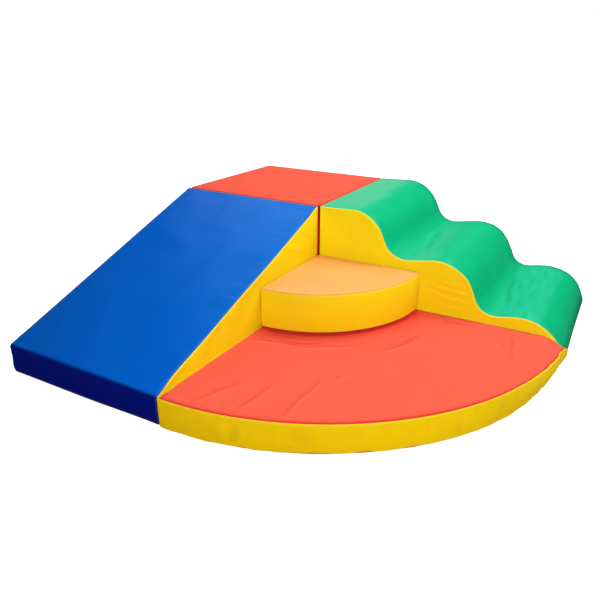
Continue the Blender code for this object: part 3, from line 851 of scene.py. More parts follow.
side_folds = [(0.410, 0.205, 0.595, 0.178, -0.010, 0.0060, 0.0026),
              (0.405, 0.176, 0.600, 0.146, -0.008, 0.0060, 0.0020),
              (0.412, 0.226, 0.560, 0.206, -0.007, 0.0050, 0.0010),
              (0.440, 0.130, 0.605, 0.116, -0.004, 0.0060, 0.0008),
              (0.124, 0.394, 0.137, 0.266, 0.003, 0.0080, -0.0004),
              (0.065, 0.361, 0.168, 0.271, -0.006, 0.0060, 0.0009)]
creases = np.where(front, folds(wave.plane, side_folds) * calm(wave, 0.02), 0)
relief += paint_fold_light_and_shade(wave, creases, 0.3)
lifted(wave, relief, ["wave_zip_tape", "wave_hook_to_low_step"], 0.02)

# %% [markdown]
# The level parts of the green get painted sheen in streaks. The tip and the rear edge get
# painted shade, and a thin line along both long seams gets a painted highlight.

# %% Painted sheen, shade and highlights of the wave
flat = over * ramped((wave.normal[:, 2] - 0.91) / 0.07)
streaks = ripples(on_top * (1, 0.35), 0.035, 67, 11)
flat *= 1 + 0.9 * bell(u - 0.365, 0.045) + 0.3 * bell(u - 0.69, 0.04)
wave.rim += flat * (0.15 + 0.21 * ramped(1 - share / 0.5)) * (1 + 0.30 * streaks)
wave.shade += over * 0.12 * ramped((u - RUN + 0.07) / 0.06)
wave.shade += over * (0.45 + 0.45 * across) * ramped((u - RUN + 0.030) / 0.030) ** 2
wave.shade += over * (0.45 * bell(wave.high_gap, 0.030) + 0.6 * bell(wave.high_gap, 0.010))
wave.rim += (0.3 + 0.5 * ramped(share * 2 - 0.4)) * bell(wave.seam, 0.0030) * on_panel

# %% [markdown]
# Foam is cut by hand along a template, so the real wave isn't quite regular. Short lists of
# lifts and pushes say how far its front and its rear edge stand off the template, and both
# fade out towards the middle.

# %% Uneven crests
def nudge(skin, axis, where, bumps):
    """Move the skin along an axis of the room by bells over the length of its profile,
    each given by its middle, its width and its height."""
    for middle, width, height in bumps:
        skin.final[:, axis] += height * bell(skin.plane[:, 0] - middle, width) * where


wave.final[:, 0] += 0.0010 * bell(u, 0.006) * bell(wave.depth, 0.012)
upper = ramped((v - 0.03) / 0.05)
near_front = np.where(front, bell(wave.seam, 0.06), ramped(1 - across / 0.4)) * upper
near_rear = ramped(across * 2 - 1) * upper
nudge(wave, 2, near_front, [(0.15, 0.06, 0.0035), (0.37, 0.05, -0.0010), (0.70, 0.05, 0.0055),
                            (0.78, 0.05, 0.0030)])
nudge(wave, 0, near_front, [(0.28, 0.04, -0.006), (0.56, 0.03, 0.004), (0.61, 0.03, -0.0015)])
nudge(wave, 2, near_rear, [(0.13, 0.08, 0.005), (0.20, 0.03, 0.0035), (0.42, 0.05, -0.0015),
                           (0.64, 0.03, -0.0015), (0.70, 0.06, 0.0045), (0.85, 0.05, 0.0015)])
nudge(wave, 0, near_rear, [(0.25, 0.03, 0.0035), (0.52, 0.04, 0.008), (0.59, 0.02, 0.003)])
wave.final[:, 0] -= 0.003 * ramped((u - RUN + 0.09) / 0.08) * ramped(across * 2)
foot = ramped((u - RUN + 0.07) / 0.06) * near_floor(wave, 0.06, 1.3)
wave.final[:, 0] -= 0.016 * foot * bell(wave.depth, 0.05)
for panels in ((0,), (1,), (3, 4)):
    wrinkle(wave, panels)
cut_cover(wave, "wave", [("top", "green", 3, 4), ("front_side", "yellow", 0),
                         ("rear_side", "yellow", 1), ("back", "yellow", 5),
                         ("base", "yellow", 2)])

# %% [markdown]
# The quarter round steps
#
# Both steps are quarter discs. A disc from Blender's own menu has a crowded pole in its
# middle. Here the outline's four marks are the inside corner, the two tips and the middle
# of the arc, so the grid on top is even.

# %% Quarter round outline
RAMP_TIP, WAVE_TIP = 0.005, 0.010


def quarter(radius, counts, steps=160):
    """A quarter disc to +X and -Y of the inside corner, as four sides.

    The arc stops a little before each tip. There its tangent meets the straight side,
    and that corner is rounded. The upright seams lie just behind it, out of sight.
    """
    short = math.atan(1.15 * WAVE_TIP / radius)
    angle = np.linspace(-math.pi / 2 + short, -short, steps + 1)
    arc = np.stack([np.cos(angle), np.sin(angle)], axis=1) * radius
    tip_at = radius / math.cos(short)
    seam_at = tip_at - 3.5 * WAVE_TIP
    corners = np.concatenate([[(0, 0), (0, -seam_at), (0, -tip_at)], arc,
                              [(tip_at, 0), (seam_at, 0)]])
    radii = [WAVE_TIP, 0, RAMP_TIP] + [0] * (steps + 1) + [WAVE_TIP, 0]
    outline, middles = rounded_path(corners, radii)
    return four_sides(outline, [middles[k] for k in (0, 1, 3 + steps // 2, -1)], counts)


low_sides = quarter(RUN, (190, 190))
high_sides = quarter(HIGH_RADIUS, (64, 64))
print("outline points:", sum(map(len, low_sides)), sum(map(len, high_sides)))

# %% [markdown]
# The low step is a thin wedge of foam at its tips. The tip at the wave is pressed down and
# its foot is drawn in. The yellow band rolls over the top edge to its seam, which gives a
# bright line there, helped by a painted highlight, with a painted shadow as a dark line of
# red beyond it. The red base wraps up round the foot of the band in some places only.

# %% Skin of the low step
loop = np.concatenate([side[:-1] for side in low_sides])
bearing = np.degrees(np.arctan2(-loop[:, 1], loop[:, 0]))
foot_seam = 16 + 5 * ripples(loop, 0.05, 32, 7)
for middle, width, lift in ((74, 1.6, 66), (62.5, 4.4, 62), (54.2, 1.7, 60), (45.8, 2.2, 66),
                            (39, 2.4, 60), (32.2, 1.3, 62)):
    foot_seam = foot_seam + lift * bell(bearing - middle, width)
foot_seam *= 1 - 0.6 * ramped((30 - bearing) / 6)
top_seam = 5 + 23 * ramped((bearing - 25) / 20)
low = make_skin(low_sides, LOW_HEIGHT, np.clip(foot_seam, 4, 84), top_seam, edge=0.0048,
                seams=(0, 1, 3))
place(low, (step_low[0], step_high[1], 0), (1, 0, 0), (0, 1, 0), (0, 0, 1))
print(f"low step: {len(low.point)} points in its skin")

# %% [markdown]
# The band bulges between its seams and has six short folds, and a ridge runs just below
# its upper seam. The top lies almost flat where the high step hides it. From here on, the
# radius and the bearing of each place are more useful than x and y.

# %% Relief of the low step
x, y = low.plane.T
radius, bearing = np.hypot(x, y), np.degrees(np.arctan2(-y, x))
top, belt = low.zone == 1, low.zone == 0
curved = belt & (low.along > low.corners[1]) & (low.along < low.corners[3])
relief = groove(low) + np.where(curved, 0.0022 * band_bulge(low), 0)
relief += np.where(curved, 0.0010 * bell(low.high_gap - 0.0045, 0.0025), 0)
relief += np.where(curved, 0.0012 * bell(low.depth - 0.012, 0.02) * ripples(low.plane, 0.10, 33), 0)
free_top = top * ramped((radius - HIGH_RADIUS) / 0.04)
relief += free_top * 0.0007 * calm(low, 0.03) * ripples(low.plane, 0.13, 35)
relief += np.where(top | curved, 1, 0.3) * puckers(low, 0.0004, 0.045, 37, 0.022)

BAND_SCALE = 60
band_dents = [(78.5, 0.080, 76.0, 0.030, 0.6, 1.1, 0.0016),
              (75.0, 0.070, 77.0, 0.020, -0.4, 1.0, -0.0014),
              (66.0, 0.075, 62.5, 0.035, 0.5, 1.3, -0.0012),
              (52.0, 0.080, 55.0, 0.030, 0.4, 1.2, 0.0012),
              (38.0, 0.078, 35.5, 0.028, -0.5, 1.2, 0.0014),
              (27.0, 0.075, 29.5, 0.030, 0.4, 1.1, -0.0012)]
band_dents = [(a, b * BAND_SCALE, c, d * BAND_SCALE, *rest) for a, b, c, d, *rest in band_dents]
unrolled = np.column_stack([bearing, low.depth * BAND_SCALE])
relief += paint_fold_light_and_shade(low, np.where(curved, folds(unrolled, band_dents) * calm(low), 0), 0.3)

# %% [markdown]
# The high step stands on this top and presses it down, so the fabric dips round its foot
# and creases where it rises again. Other creases run out towards the curved edge.

# %% Creases of the low step's top
dip = bell(radius - HIGH_RADIUS - 0.008, 0.045)
relief -= top * 0.0050 * dip * calm(low, 0.03)
top_creases = [(0.010, -0.504, 0.203, -0.464, 0.004, 0.0060, 0.0036),
               (0.170, -0.474, 0.335, -0.368, -0.010, 0.0060, 0.0040),
               (0.110, -0.452, 0.240, -0.402, -0.006, 0.0065, -0.0026),
               (0.400, -0.378, 0.492, -0.230, -0.012, 0.0065, 0.0034),
               (0.430, -0.300, 0.478, -0.180, -0.008, 0.0065, -0.0022),
               (0.100, -0.873, 0.173, -0.709, 0.006, 0.0075, 0.0016),
               (0.216, -0.858, 0.237, -0.672, -0.006, 0.0070, 0.0019),
               (0.346, -0.819, 0.337, -0.680, 0.005, 0.0065, 0.0020),
               (0.337, -0.710, 0.338, -0.593, -0.004, 0.0065, 0.0018),
               (0.370, -0.604, 0.396, -0.529, 0.003, 0.0065, 0.0014),
               (0.486, 0.004, 0.582, -0.024, -0.010, 0.0070, 0.0026),
               (0.500, -0.060, 0.610, -0.050, 0.008, 0.0075, -0.0014),
               (0.681, -0.118, 0.728, -0.169, 0.003, 0.0065, 0.0018),
               (0.737, -0.045, 0.752, -0.142, 0.003, 0.0065, -0.0014),
               (0.752, -0.142, 0.772, -0.217, -0.003, 0.0065, -0.0010)]
creases = free_top * folds(low.plane, top_creases) * calm(low, 0.014)
relief += paint_fold_light_and_shade(low, creases, 0.5)
relief = lifted(low, relief, ["low_step_zip_tape", "low_step_loop_to_ramp",
                              "low_step_loop_to_wave", "low_step_hook_to_high_rear",
                              "low_step_hook_to_high_front"], 0.012)
print(f"largest swell of the low step: {relief.max() * 1000:.1f} mm")
wrinkle(low, [1], growth=0.003, held=1 - ramped((radius - HIGH_RADIUS + 0.02) / 0.03))
wrinkle(low, [3, 4])

# %% [markdown]
# Near the wave the foot of the band is drawn in and scalloped, and further on it stands
# out. These are moves towards the inside corner or away from it. The side at the ramp is
# pushed out a little, and the tip at the wave sags.

# %% Bends of the low step
TIP_SAG, TIP_SAG_LENGTH = 0.036, 0.090


def outward(skin, distance):
    """Move the skin away from the inside corner, level, by a distance in metres."""
    reach = np.hypot(*skin.plane.T).clip(0.1)
    skin.final[:, :2] += (distance / reach)[:, None] * skin.plane


height = low.point[:, 2] / LOW_HEIGHT
drawn_in = 0.019 * np.exp(-(np.abs(bearing) / 25) ** 1.6) * near_floor(low, 0.062)
drawn_in *= ramped((radius - 0.75) / 0.13)
scallop = 0.0026 * ripples(low.plane, 0.065, 61, 7) * bell(bearing - 8, 10)
drawn_in += scallop * ramped((radius - 0.78) / 0.09) * (belt | (radius > 0.87))
outward(low, -drawn_in)
stand = 0.002 * ramped((bearing - 55) / 15)
stand -= 0.0048 * ramped((34 - bearing) / 14) * ramped((bearing - 2) / 6)
outward(low, stand * ramped((radius - 0.80) / 0.08) * near_floor(low, 0.06))
inward = 0.0022 * ramped((30 - bearing) / 8) * ramped((bearing - 3) / 4)
outward(low, -inward * ramped((radius - 0.80) / 0.08) * height)
at_ramp = bell(x, 0.05) * ramped((-y - 0.32) / 0.30) * ramped((0.86 + y) / 0.05)
low.final[:, 0] -= 0.003 * at_ramp * low.still * height
gap = np.hypot(x - RUN, y)
sag = TIP_SAG * np.clip(1 - gap / TIP_SAG_LENGTH, 0, 1) ** 2
low.final[:, 2] -= sag * np.clip(low.final[:, 2] / LOW_HEIGHT, 0, 1)

# %% [markdown]
# The finish gets its painted light and shade last: a painted highlight along the top of the
# band, a painted shadow as a dark line of red beside it, painted shade round the high step
# and beside the straight seam at the ramp, painted shade on the band towards the ramp and
# painted light on it towards the wave, and a little painted sheen on the free part of the top.

# %% Painted light and shade, and panels of the low step
low.rim += 0.6 * bell(low.high_gap - 0.0020, 0.0022) * curved * (
    0.4 + 0.6 * ramped((bearing - 30) / 30))
dark_line = 0.0045 + 0.0045 * ramped((bearing - 15) / 30)
low.shade += bell(low.high_gap, dark_line) * top * (low.along > low.corners[1])
low.shade += curved * 0.28 * ramped((bearing - 40) / 45)
low.rim += curved * 0.12 * ramped((30 - bearing) / 12)
low.shade += top * (0.30 * dip + 0.6 * bell(radius - HIGH_RADIUS - 0.001, 0.007))
low.shade += 0.5 * top * bell(low.seam, 0.004) * (low.along < low.corners[1])
low.rim += 0.14 * free_top
cut_cover(low, "low_step", [("top", "red", 1), ("band", "yellow", 3, 4),
                            ("ramp_side", "yellow", 2), ("wave_side", "yellow", 5),
                            ("base", "red", 0)])

# %% [markdown]
# The high step
#
# The high step is the same quarter disc, less than half as wide, with a pale orange top.
# It stands on the low step in the corner, so only its top and its band are seen. It is made
# like the low one, with nothing pressed down.

# %% High step
high = make_skin(high_sides, HIGH_THICKNESS, low_seam=35, high_seam=58, seams=(0, 1, 3))
place(high, (upper_low[0], upper_high[1], HIGH_BASE), (1, 0, 0), (0, 1, 0), (0, 0, 1))
x, y = high.plane.T
top, beyond = high.zone == 1, high.along > high.corners[3]
curved = (high.zone == 0) & (high.along > high.corners[1]) & (high.along < high.corners[3])
relief = groove(high) + np.where(curved, 0.003 * band_bulge(high), 0)
relief += np.where(top, cushion(high.seam, 0.005, 0.06), 0)
relief += np.where(top | curved, 0.0006, 0) * calm(high, 0.03) * ripples(high.point, 0.12, 43)
relief += np.where(top | curved, 1, 0.3) * puckers(high, 0.0006, 0.028, 47)
lifted(high, relief, ["high_step_zip_tape", "high_step_loop_to_low_rear",
                      "high_step_loop_to_low_front"], 0.012, HIGH_BASE)
# Painted shade in a thin line along the edge of the top, on the band towards the ramp and beside
# both straight seams, and a painted highlight along the top of the band.
high.shade = 0.25 * bell(high.high_gap - 0.001, 0.0028) * top
high.shade += curved * 0.22 * ramped((np.degrees(np.arctan2(-y, x)) - 30) / 50)
high.shade += 0.5 * top * bell(high.seam, 0.004) * ((high.along < high.corners[1]) | beyond)
high.rim = 0.6 * bell(high.high_gap - 0.002, 0.003) * curved
wrinkle(high, [1])
wrinkle(high, [3, 4])
cut_cover(high, "high_step", [("top", "orange", 1), ("band", "yellow", 3, 4),
                              ("ramp_side", "yellow", 2), ("wave_side", "yellow", 5),
                              ("base", "yellow", 0)])

# %% [markdown]
# Foam inside
#
# Each cover is filled with one block of foam. No view at rest shows it, but a cover that is
# opened shouldn't be empty. It is the same skin drawn in by a few millimetres, closed all
# round.

# %% Foam cores
FOAM_GAP = 0.005


def foam_core(skin, name, body, node):
    """The piece's foam: the closed skin, set in along its normals by the foam's gap."""
    points = skin.final - FOAM_GAP * skin.normal
    obj = enlist(mesh_object(name, points, panel_faces(skin)), body, "foam", [node])


pieces = {"block": block, "ramp": ramp, "wave": wave, "low_step": low, "high_step": high}
for name, skin in pieces.items():
    foam_core(skin, f"foam_{name}", BODIES.get(name, name), f"{name}_foam_core")
print("foam cores:", sum(name.startswith("foam") for name in made))

# %% [markdown]
# Small repeated shapes
#
# Zip teeth and stitches are one small bead, repeated many times. The bead is a ball with
# few faces. Three vectors stretch and turn it, and adding the places copies it.

# %% A bead and its copies
AROUND, RINGS = 5, 2


def bead():
    """A ball of radius one, from two poles and rings. With a from pole to pole and b
    round the ring, a point is sin a cos b, sin a sin b and cos a."""
    a = np.linspace(0, math.pi, RINGS + 2)[1:-1, None]
    b = np.linspace(0, 2 * math.pi, AROUND, endpoint=False)[None]
    ring = np.stack([np.sin(a) * np.cos(b), np.sin(a) * np.sin(b), np.cos(a) + 0 * b], axis=-1)
    points = np.concatenate([[(0, 0, 1)], ring.reshape(-1, 3), [(0, 0, -1)]])
    here = 1 + np.arange(RINGS * AROUND).reshape(RINGS, AROUND)
    beside = np.roll(here, -1, 1)
    quads = np.stack([here[:-1], here[1:], beside[1:], beside[:-1]], axis=-1).reshape(-1, 4)
    first, last = np.zeros(AROUND, int), np.full(AROUND, len(points) - 1)
    ends = np.concatenate([np.stack([first, here[0], beside[0]], axis=1),
                           np.stack([last, beside[-1], here[-1]], axis=1)])
    return points, quads, ends


def copies(name, centres, axes):
    """The bead at every centre, stretched by three axes: centre plus bead times axes."""
    points, quads, ends = bead()
    axes = np.asarray(axes, float)
    if np.linalg.det(axes if axes.ndim == 2 else axes[0]) < 0:
        quads, ends = quads[:, ::-1], ends[:, ::-1]
    where = (centres[:, None] + points @ axes).reshape(-1, 3)
    shift = (np.arange(len(centres)) * len(points))[:, None, None]
    faces = (quads + shift).reshape(-1, 4).tolist() + (ends + shift).reshape(-1, 3).tolist()
    return mesh_object(name, where, faces)


# %% [markdown]
# Zips
#
# The foam goes in through a zip. Each zip lies low down on a side that is out of sight: at
# the rear, at the outer side of the ramp, and where the steps meet the ramp. Its tape is
# sewn behind a slot in the cover, and the closed teeth stand in the slot. The model's box
# of the tape says where it is.

# %% Where each zip sits
SLOT, TAPE, TAPE_END, TOOTH_PITCH = 0.0105, 0.026, 0.010, 0.0016
SUNK = 0.0003


def zip_place(name, out):
    """A frame on the cover's face: its middle, and the ways along, up and out."""
    low, high = box(f"{name}_zip_tape")
    out = np.array(out, float)
    along = np.cross((0, 0, 1), out)
    middle = (low + high) / 2
    face = np.where(out > 0, high, low) - SUNK * out
    middle = np.where(out != 0, face, middle)
    length = np.abs((high - low) @ along) - 2 * TAPE_END
    return SimpleNamespace(middle=middle, length=length, axes=np.array((along, (0, 0, 1), out)))


zips = {name: zip_place(name, out) for name, out in (
    ("block", (0, 1, 0)), ("ramp", (-1, 0, 0)), ("wave", (0, 1, 0)),
    ("low_step", (-1, 0, 0)), ("high_step", (-1, 0, 0)))}
print("zip lengths:", {name: round(float(z.length), 3) for name, z in zips.items()})

# %% [markdown]
# The slot is cut with four planes. Only the faces round the slot are split, and those
# inside are deleted. A Boolean modifier could cut it as well, but it would do so again at
# every change, and it is slow on a fine mesh.

# %% Cut the slots
NEAR_FACE = 0.004


def open_slot(obj, z):
    """Split the faces near the slot along its four lines, and delete those inside."""
    bm = bmesh.new()
    bm.from_mesh(obj.data)
    half = (z.length / 2, SLOT / 2)

    def within(along, up):
        """The faces with their middle in the slot, when that is made larger by margins."""
        limits = (half[0] + along, half[1] + up, NEAR_FACE)
        return [f for f in bm.faces
                if (np.abs(z.axes @ (np.array(f.calc_center_median()) - z.middle)) < limits).all()]

    for k in (0, 1):
        for sign in (-1, 1):
            close = within(0.02, 0.012)
            parts = {e for f in close for e in f.edges} | {v for f in close for v in f.verts}
            bmesh.ops.bisect_plane(bm, geom=close + list(parts), dist=1e-6, plane_no=z.axes[k],
                                   plane_co=z.middle + sign * half[k] * z.axes[k])
    inside = within(0, 0)
    bmesh.ops.delete(bm, geom=inside, context="FACES")
    bm.to_mesh(obj.data)
    bm.free()
    return len(inside)


SLOTTED = {"block": "cover_block_sides", "ramp": "cover_ramp_outer_side",
           "wave": "cover_wave_rear_side", "low_step": "cover_low_step_ramp_side",
           "high_step": "cover_high_step_ramp_side"}
for name, cover in SLOTTED.items():
    print(f"slot in {cover}: {open_slot(made[cover], zips[name])} faces removed")

# %% [markdown]
# The tape is woven with fine ribs along it, and the teeth are a coil whose turns come from
# both sides in turn. Each turn is one bead here, since nobody sees the thread of so fine
# a coil.

# %% Tape and teeth
TAPE_ROWS, TAPE_COLUMNS = 90, 27
TAPE_DEPTH, RIB_HEIGHT, RIB_PITCH = 0.0011, 0.00006, 0.002
TOOTH = (0.0007, 0.0015, 0.0007)


def zip_tape(name, body, z):
    """A ribbed tape: a grid along and across, whose height is a fine cosine across."""
    s = np.linspace(-z.length / 2 - TAPE_END, z.length / 2 + TAPE_END, TAPE_ROWS)
    t = np.linspace(-TAPE / 2, TAPE / 2, TAPE_COLUMNS)
    s, t = (g.reshape(-1) for g in np.meshgrid(s, t, indexing="ij"))
    rise = -TAPE_DEPTH + RIB_HEIGHT * np.cos(2 * math.pi * t / RIB_PITCH)
    points = z.middle + np.column_stack([s, t, rise]) @ z.axes
    faces = grid_faces(np.arange(len(s)).reshape(TAPE_ROWS, TAPE_COLUMNS))
    faces = facing(points, faces, np.tile(z.axes[2], (len(s), 1)))
    tape = mesh_object(f"zip_{name}_tape", points, faces)
    thicken(tape, 0.0006)
    enlist(tape, body, "zip_tape", [f"{name}_zip_tape"])


def zip_teeth(name, body, z):
    """Teeth from both sides in turn, each a bead that reaches past the middle."""
    k = np.arange(round(z.length / TOOTH_PITCH))
    s = (k + 0.5) * TOOTH_PITCH - z.length / 2
    places = np.column_stack([s, np.where(k % 2, 0.0008, -0.0008), np.full(len(k), -0.0004)])
    stretch = np.diag(TOOTH) @ z.axes
    enlist(copies(f"zip_{name}_teeth", z.middle + places @ z.axes, stretch), body, "zip_tape")
    return len(k)


teeth = 0
for name, z in zips.items():
    zip_tape(name, BODIES.get(name, name), z)
    teeth += zip_teeth(name, BODIES.get(name, name), z)
for panel in list(made.values()):
    if panel.name.startswith("cover_"):
        thicken(panel, FABRIC)
print("zip teeth:", teeth)

# %% [markdown]
# Stitches
#
# A closed row of stitches holds each zip. A stitch is a bead stretched to three millimetres
# that lies half in the fabric.

# %% Rows of stitches
STITCH_PITCH, STITCH_MARGIN = 0.0042, 0.003
STITCH = (0.0015, 0.00032, 0.00022)


def stitch_row(corners):
    """Places and directions of stitches along a closed chain of straight lines."""
    places, ways = [], []
    for start, end in zip(corners, np.roll(corners, -1, 0)):
        way = end - start
        count = max(2, round(np.linalg.norm(way) / STITCH_PITCH))
        share = (np.arange(count) + 0.5) / count
        places.append(start + share[:, None] * way)
        ways.append(np.tile(unit(way), (count, 1)))
    return np.concatenate(places), np.concatenate(ways)


def stitches(name, body, slot, middle, axes, size, lift=0.00005):
    """A closed rectangle of stitches about a middle, of the given half size."""
    a, b = size
    places, ways = stitch_row(np.array([(-a, -b), (a, -b), (a, b), (-a, b)]))
    centres = middle + np.column_stack([places, np.full(len(places), lift)]) @ axes
    way = np.column_stack([ways, np.zeros(len(ways))]) @ axes
    out = np.tile(axes[2], (len(way), 1))
    turned = [axis * half for axis, half in zip((way, np.cross(out, way), out), STITCH)]
    enlist(copies(name, centres, np.stack(turned, axis=1)), body, slot)
    return len(places)


rows = 0
for name, z in zips.items():
    slot = "red_vinyl" if name == "block" else "yellow_vinyl"
    rows += stitches(f"stitches_{name}_zip", BODIES.get(name, name), slot, z.middle, z.axes,
                     (z.length / 2 + STITCH_MARGIN, SLOT / 2 + STITCH_MARGIN))
print("zip stitches:", rows)

# %% [markdown]
# Hook and loop strips
#
# The pieces hold together by hook and loop strips with cut round corners, each sewn on
# near its edge. Thousands of hooks would cost far more than they show, so a strip is a very
# flat skin of its own, with a fine pile of random heights on it.

# %% Strips
STRIP_CORNER, PILE = 0.005, 0.00004


def strip(node, body, slot, home):
    """One strip in its node's box, with a fine pile, and stitched on its outer side. That
    is the side that looks away from the middle of its home piece."""
    low, high = box(node)
    size = high - low
    thin = int(size.argmin())
    first, second = sorted((k for k in range(3) if k != thin), key=lambda k: -size[k])
    axes = np.eye(3)[[first, second, thin]]
    a, b, thickness = size[[first, second, thin]]
    outline, marks = rounded_path([(0, 0), (a, 0), (a, b), (0, b)], [STRIP_CORNER] * 4)
    sides = four_sides(outline, marks, (round(a / 0.005), round(b / 0.004)))
    skin = make_skin(sides, thickness, 45, 45, belt_step=1, edge=0.3 * thickness)
    place(skin, low, *axes)
    pile = np.random.default_rng(len(node)).normal(size=len(skin.point))
    points = skin.point + (PILE * np.clip(pile, -1.5, 1.5) - PILE)[:, None] * skin.normal
    enlist(mesh_object(f"strip_{node}", points, panel_faces(skin)), body, slot, [node])
    centre, home = (low + high) / 2, sum(box(home)) / 2
    out = math.copysign(1, centre[thin] - home[thin])
    outer_axes = np.array((axes[0], axes[1] * out * np.linalg.det(axes), axes[2] * out))
    middle = centre + axes[2] * out * thickness / 2
    return stitches(f"stitches_{node}", body, slot, middle, outer_axes,
                    (a / 2 - STITCH_MARGIN, b / 2 - STITCH_MARGIN), lift=-0.00006)


slots = {part["node"]: part["material_slot"] for part in frame["record"]["subparts"]}
count = 0
for node, slot in slots.items():
    if slot in ("hook_strip", "loop_strip"):
        home = next(name for name in pieces if node.startswith(name))
        count += strip(node, BODIES.get(home, home), slot, f"{home}_base_panel")
print("strip stitches:", count)

# %% [markdown]
# A way to write materials
#
# A finish is a formula: a colour times some noise, a bump from two grains. A small class
# wraps a socket, so the formula can be written as one and its Math nodes appear by
# themselves.

# %% Sockets that can be added and multiplied
class Socket:
    """An output socket in a node tree, with the operators that the finishes use."""

    def __init__(self, tree, socket=None):
        """Keep the tree and, apart from the first one, the node's output."""
        self.tree, self.socket = tree, socket

    def node(self, kind, settings=None, out=0, **inputs):
        """Any node: its settings are set first, then values or links of its sockets."""
        node = self.tree.nodes.new(kind)
        for key, value in (settings or {}).items():
            setattr(node, key, value)
        for key, value in inputs.items():
            key = int(key[1:]) if key[1:].isdigit() else key.replace("_", " ")
            if isinstance(value, Socket):
                self.tree.links.new(value.socket, node.inputs[key])
            else:
                node.inputs[key].default_value = value
        return Socket(self.tree, node.outputs[out])

    def math(self, operation, *values):
        """A Math node over some values or sockets."""
        return self.node("ShaderNodeMath", {"operation": operation},
                         **{f"i{k}": v for k, v in enumerate(values)})

    # The operators, each a Math node
    def __add__(self, other):
        return self.math("ADD", self, other)

    def __sub__(self, other):
        return self.math("SUBTRACT", self, other)

    def __rsub__(self, other):
        return self.math("SUBTRACT", other, self)

    def __mul__(self, other):
        return self.math("MULTIPLY", self, other)

    def __truediv__(self, other):
        return self.math("DIVIDE", self, other)

    __radd__, __rmul__ = __add__, __mul__


# %% [markdown]
# Colours go through Mix nodes instead. Every finish starts from the same few things: a new
# material, its Principled shader, and the object's own coordinates.

# %% Colours and empty materials
def mix(factor, first, second, blend="MIX"):
    """Colours mixed by a factor."""
    maker = next(v for v in (factor, first, second) if isinstance(v, Socket))
    return maker.node("ShaderNodeMix", {"data_type": "RGBA", "blend_type": blend}, out=2,
                      i0=factor, i6=first, i7=second)


def new_material(name):
    """An empty material, with its Principled shader and its Object coordinates."""
    mat = bpy.data.materials.new(name)
    mat.use_nodes = True
    tree = mat.node_tree
    shader = tree.nodes["Principled BSDF"]
    start = Socket(tree)
    where = start.node("ShaderNodeTexCoord", out=3)
    return mat, tree, shader, start, where


def rgba(colour):
    """A colour with full opacity."""
    return (*colour, 1.0)


# %% [markdown]
# Coated fabric
#
# The covers are polyester with a soft coating, embossed with a fine leather grain. Close
# up, the grain breaks the gloss. From further away one sees broad soft patches of sheen,
# where the foam below is uneven. The coating is rubbed paler on the rolled edges, and the
# seams are darkened for dust and painted shade. The painted highlights, sheen and shade that
# the vertices carry are mixed in too. An image of real fabric could be used, but it would
# have to be unwrapped over every panel, while noise over the object's own coordinates needs
# nothing.

# %% Coated fabric
BROAD, SWELL, MOTTLE, CELLS = 5.0, 22.0, 190.0, 650.0
WEAR_AT, WEAR_HALF, DUST_AND_SHADE_REACH = 0.0045, 0.003, 0.0011
RUB, PAINTED_LIGHT_SHARE, SHADE_SHARE, DUST_AND_SHADE_SHARE = 0.02, 0.75, 0.95, 0.35
WORN = (0.95, 0.93, 0.88, 1)


def coated_fabric(name, colour, pale, dark, sheen=0.12, rough=0.46, lip=None):
    """Colour with broad and fine mottling, a grain bump, wear beside the seams, dust and
    painted shade in the seams, and the painted highlights and painted shade that the vertices
    carry. The wear is a bell a few millimetres from the seam, the seam's dust and painted shade
    an exponential. A lip is the colour that takes over at the end of the piece, and where that
    is along Y."""
    mat, tree, shader, start, where = new_material(name)
    noise, attribute = "ShaderNodeTexNoise", "ShaderNodeAttribute"
    broad = start.node(noise, Vector=where, Scale=BROAD, Detail=3.0)
    mottle = start.node(noise, Vector=where, Scale=MOTTLE, Detail=3.0, Roughness=0.6)
    seam, rim, shade = (start.node(attribute, {"attribute_name": key}, out=2)
                        for key in ("seam", "rim", "shade"))
    off = (seam - WEAR_AT) / WEAR_HALF
    worn = start.math("EXPONENT", off * off * -1.0)
    seam_dust_and_shade = start.math("EXPONENT", seam / DUST_AND_SHADE_REACH * -1.0)
    base = rgba(colour)
    if lip:
        height = start.node("ShaderNodeSeparateXYZ", out=1, Vector=where)
        mask = start.node("ShaderNodeMapRange", {"interpolation_type": "SMOOTHSTEP"},
                          Value=height, From_Min=lip[1] + 0.010, From_Max=lip[1] + 0.001)
        base = mix(mask, base, rgba(lip[0]))
    tone = 0.90 + broad * 0.08 + mottle * 0.12
    toned = mix(1.0, base, start.node("ShaderNodeCombineColor", Red=tone, Green=tone,
                                      Blue=tone), "MULTIPLY")
    toned = mix(worn * RUB, toned, WORN)
    # Painted highlights and sheen, then painted shade, then dust and painted shade in the seams.
    toned = mix(rim * PAINTED_LIGHT_SHARE, toned, rgba(pale))
    toned = mix(shade * SHADE_SHARE, toned, rgba(dark))
    toned = mix(seam_dust_and_shade * DUST_AND_SHADE_SHARE, toned, rgba([c * 0.6 for c in dark]))
    tree.links.new(toned.socket, shader.inputs["Base Color"])
    gloss = rough - 0.06 + broad * 0.12 + worn * 0.05
    if lip:
        gloss = gloss + mask * 0.3
    tree.links.new(gloss.socket, shader.inputs["Roughness"])
    shader.inputs["Specular IOR Level"].default_value = sheen
    cells = start.node("ShaderNodeTexVoronoi", {"feature": "DISTANCE_TO_EDGE"},
                       Vector=where, Scale=CELLS)
    grain = start.math("MINIMUM", cells * 3.0, 1.0) + mottle * 0.6
    swell = start.node(noise, Vector=where, Scale=SWELL, Detail=2.0)
    first = start.node("ShaderNodeBump", Strength=0.35, Distance=0.0012, Height=swell)
    second = start.node("ShaderNodeBump", Strength=0.25, Distance=0.00025, Height=grain,
                        Normal=first)
    tree.links.new(second.socket, shader.inputs["Normal"])
    mat.diffuse_color = rgba(colour)
    return mat
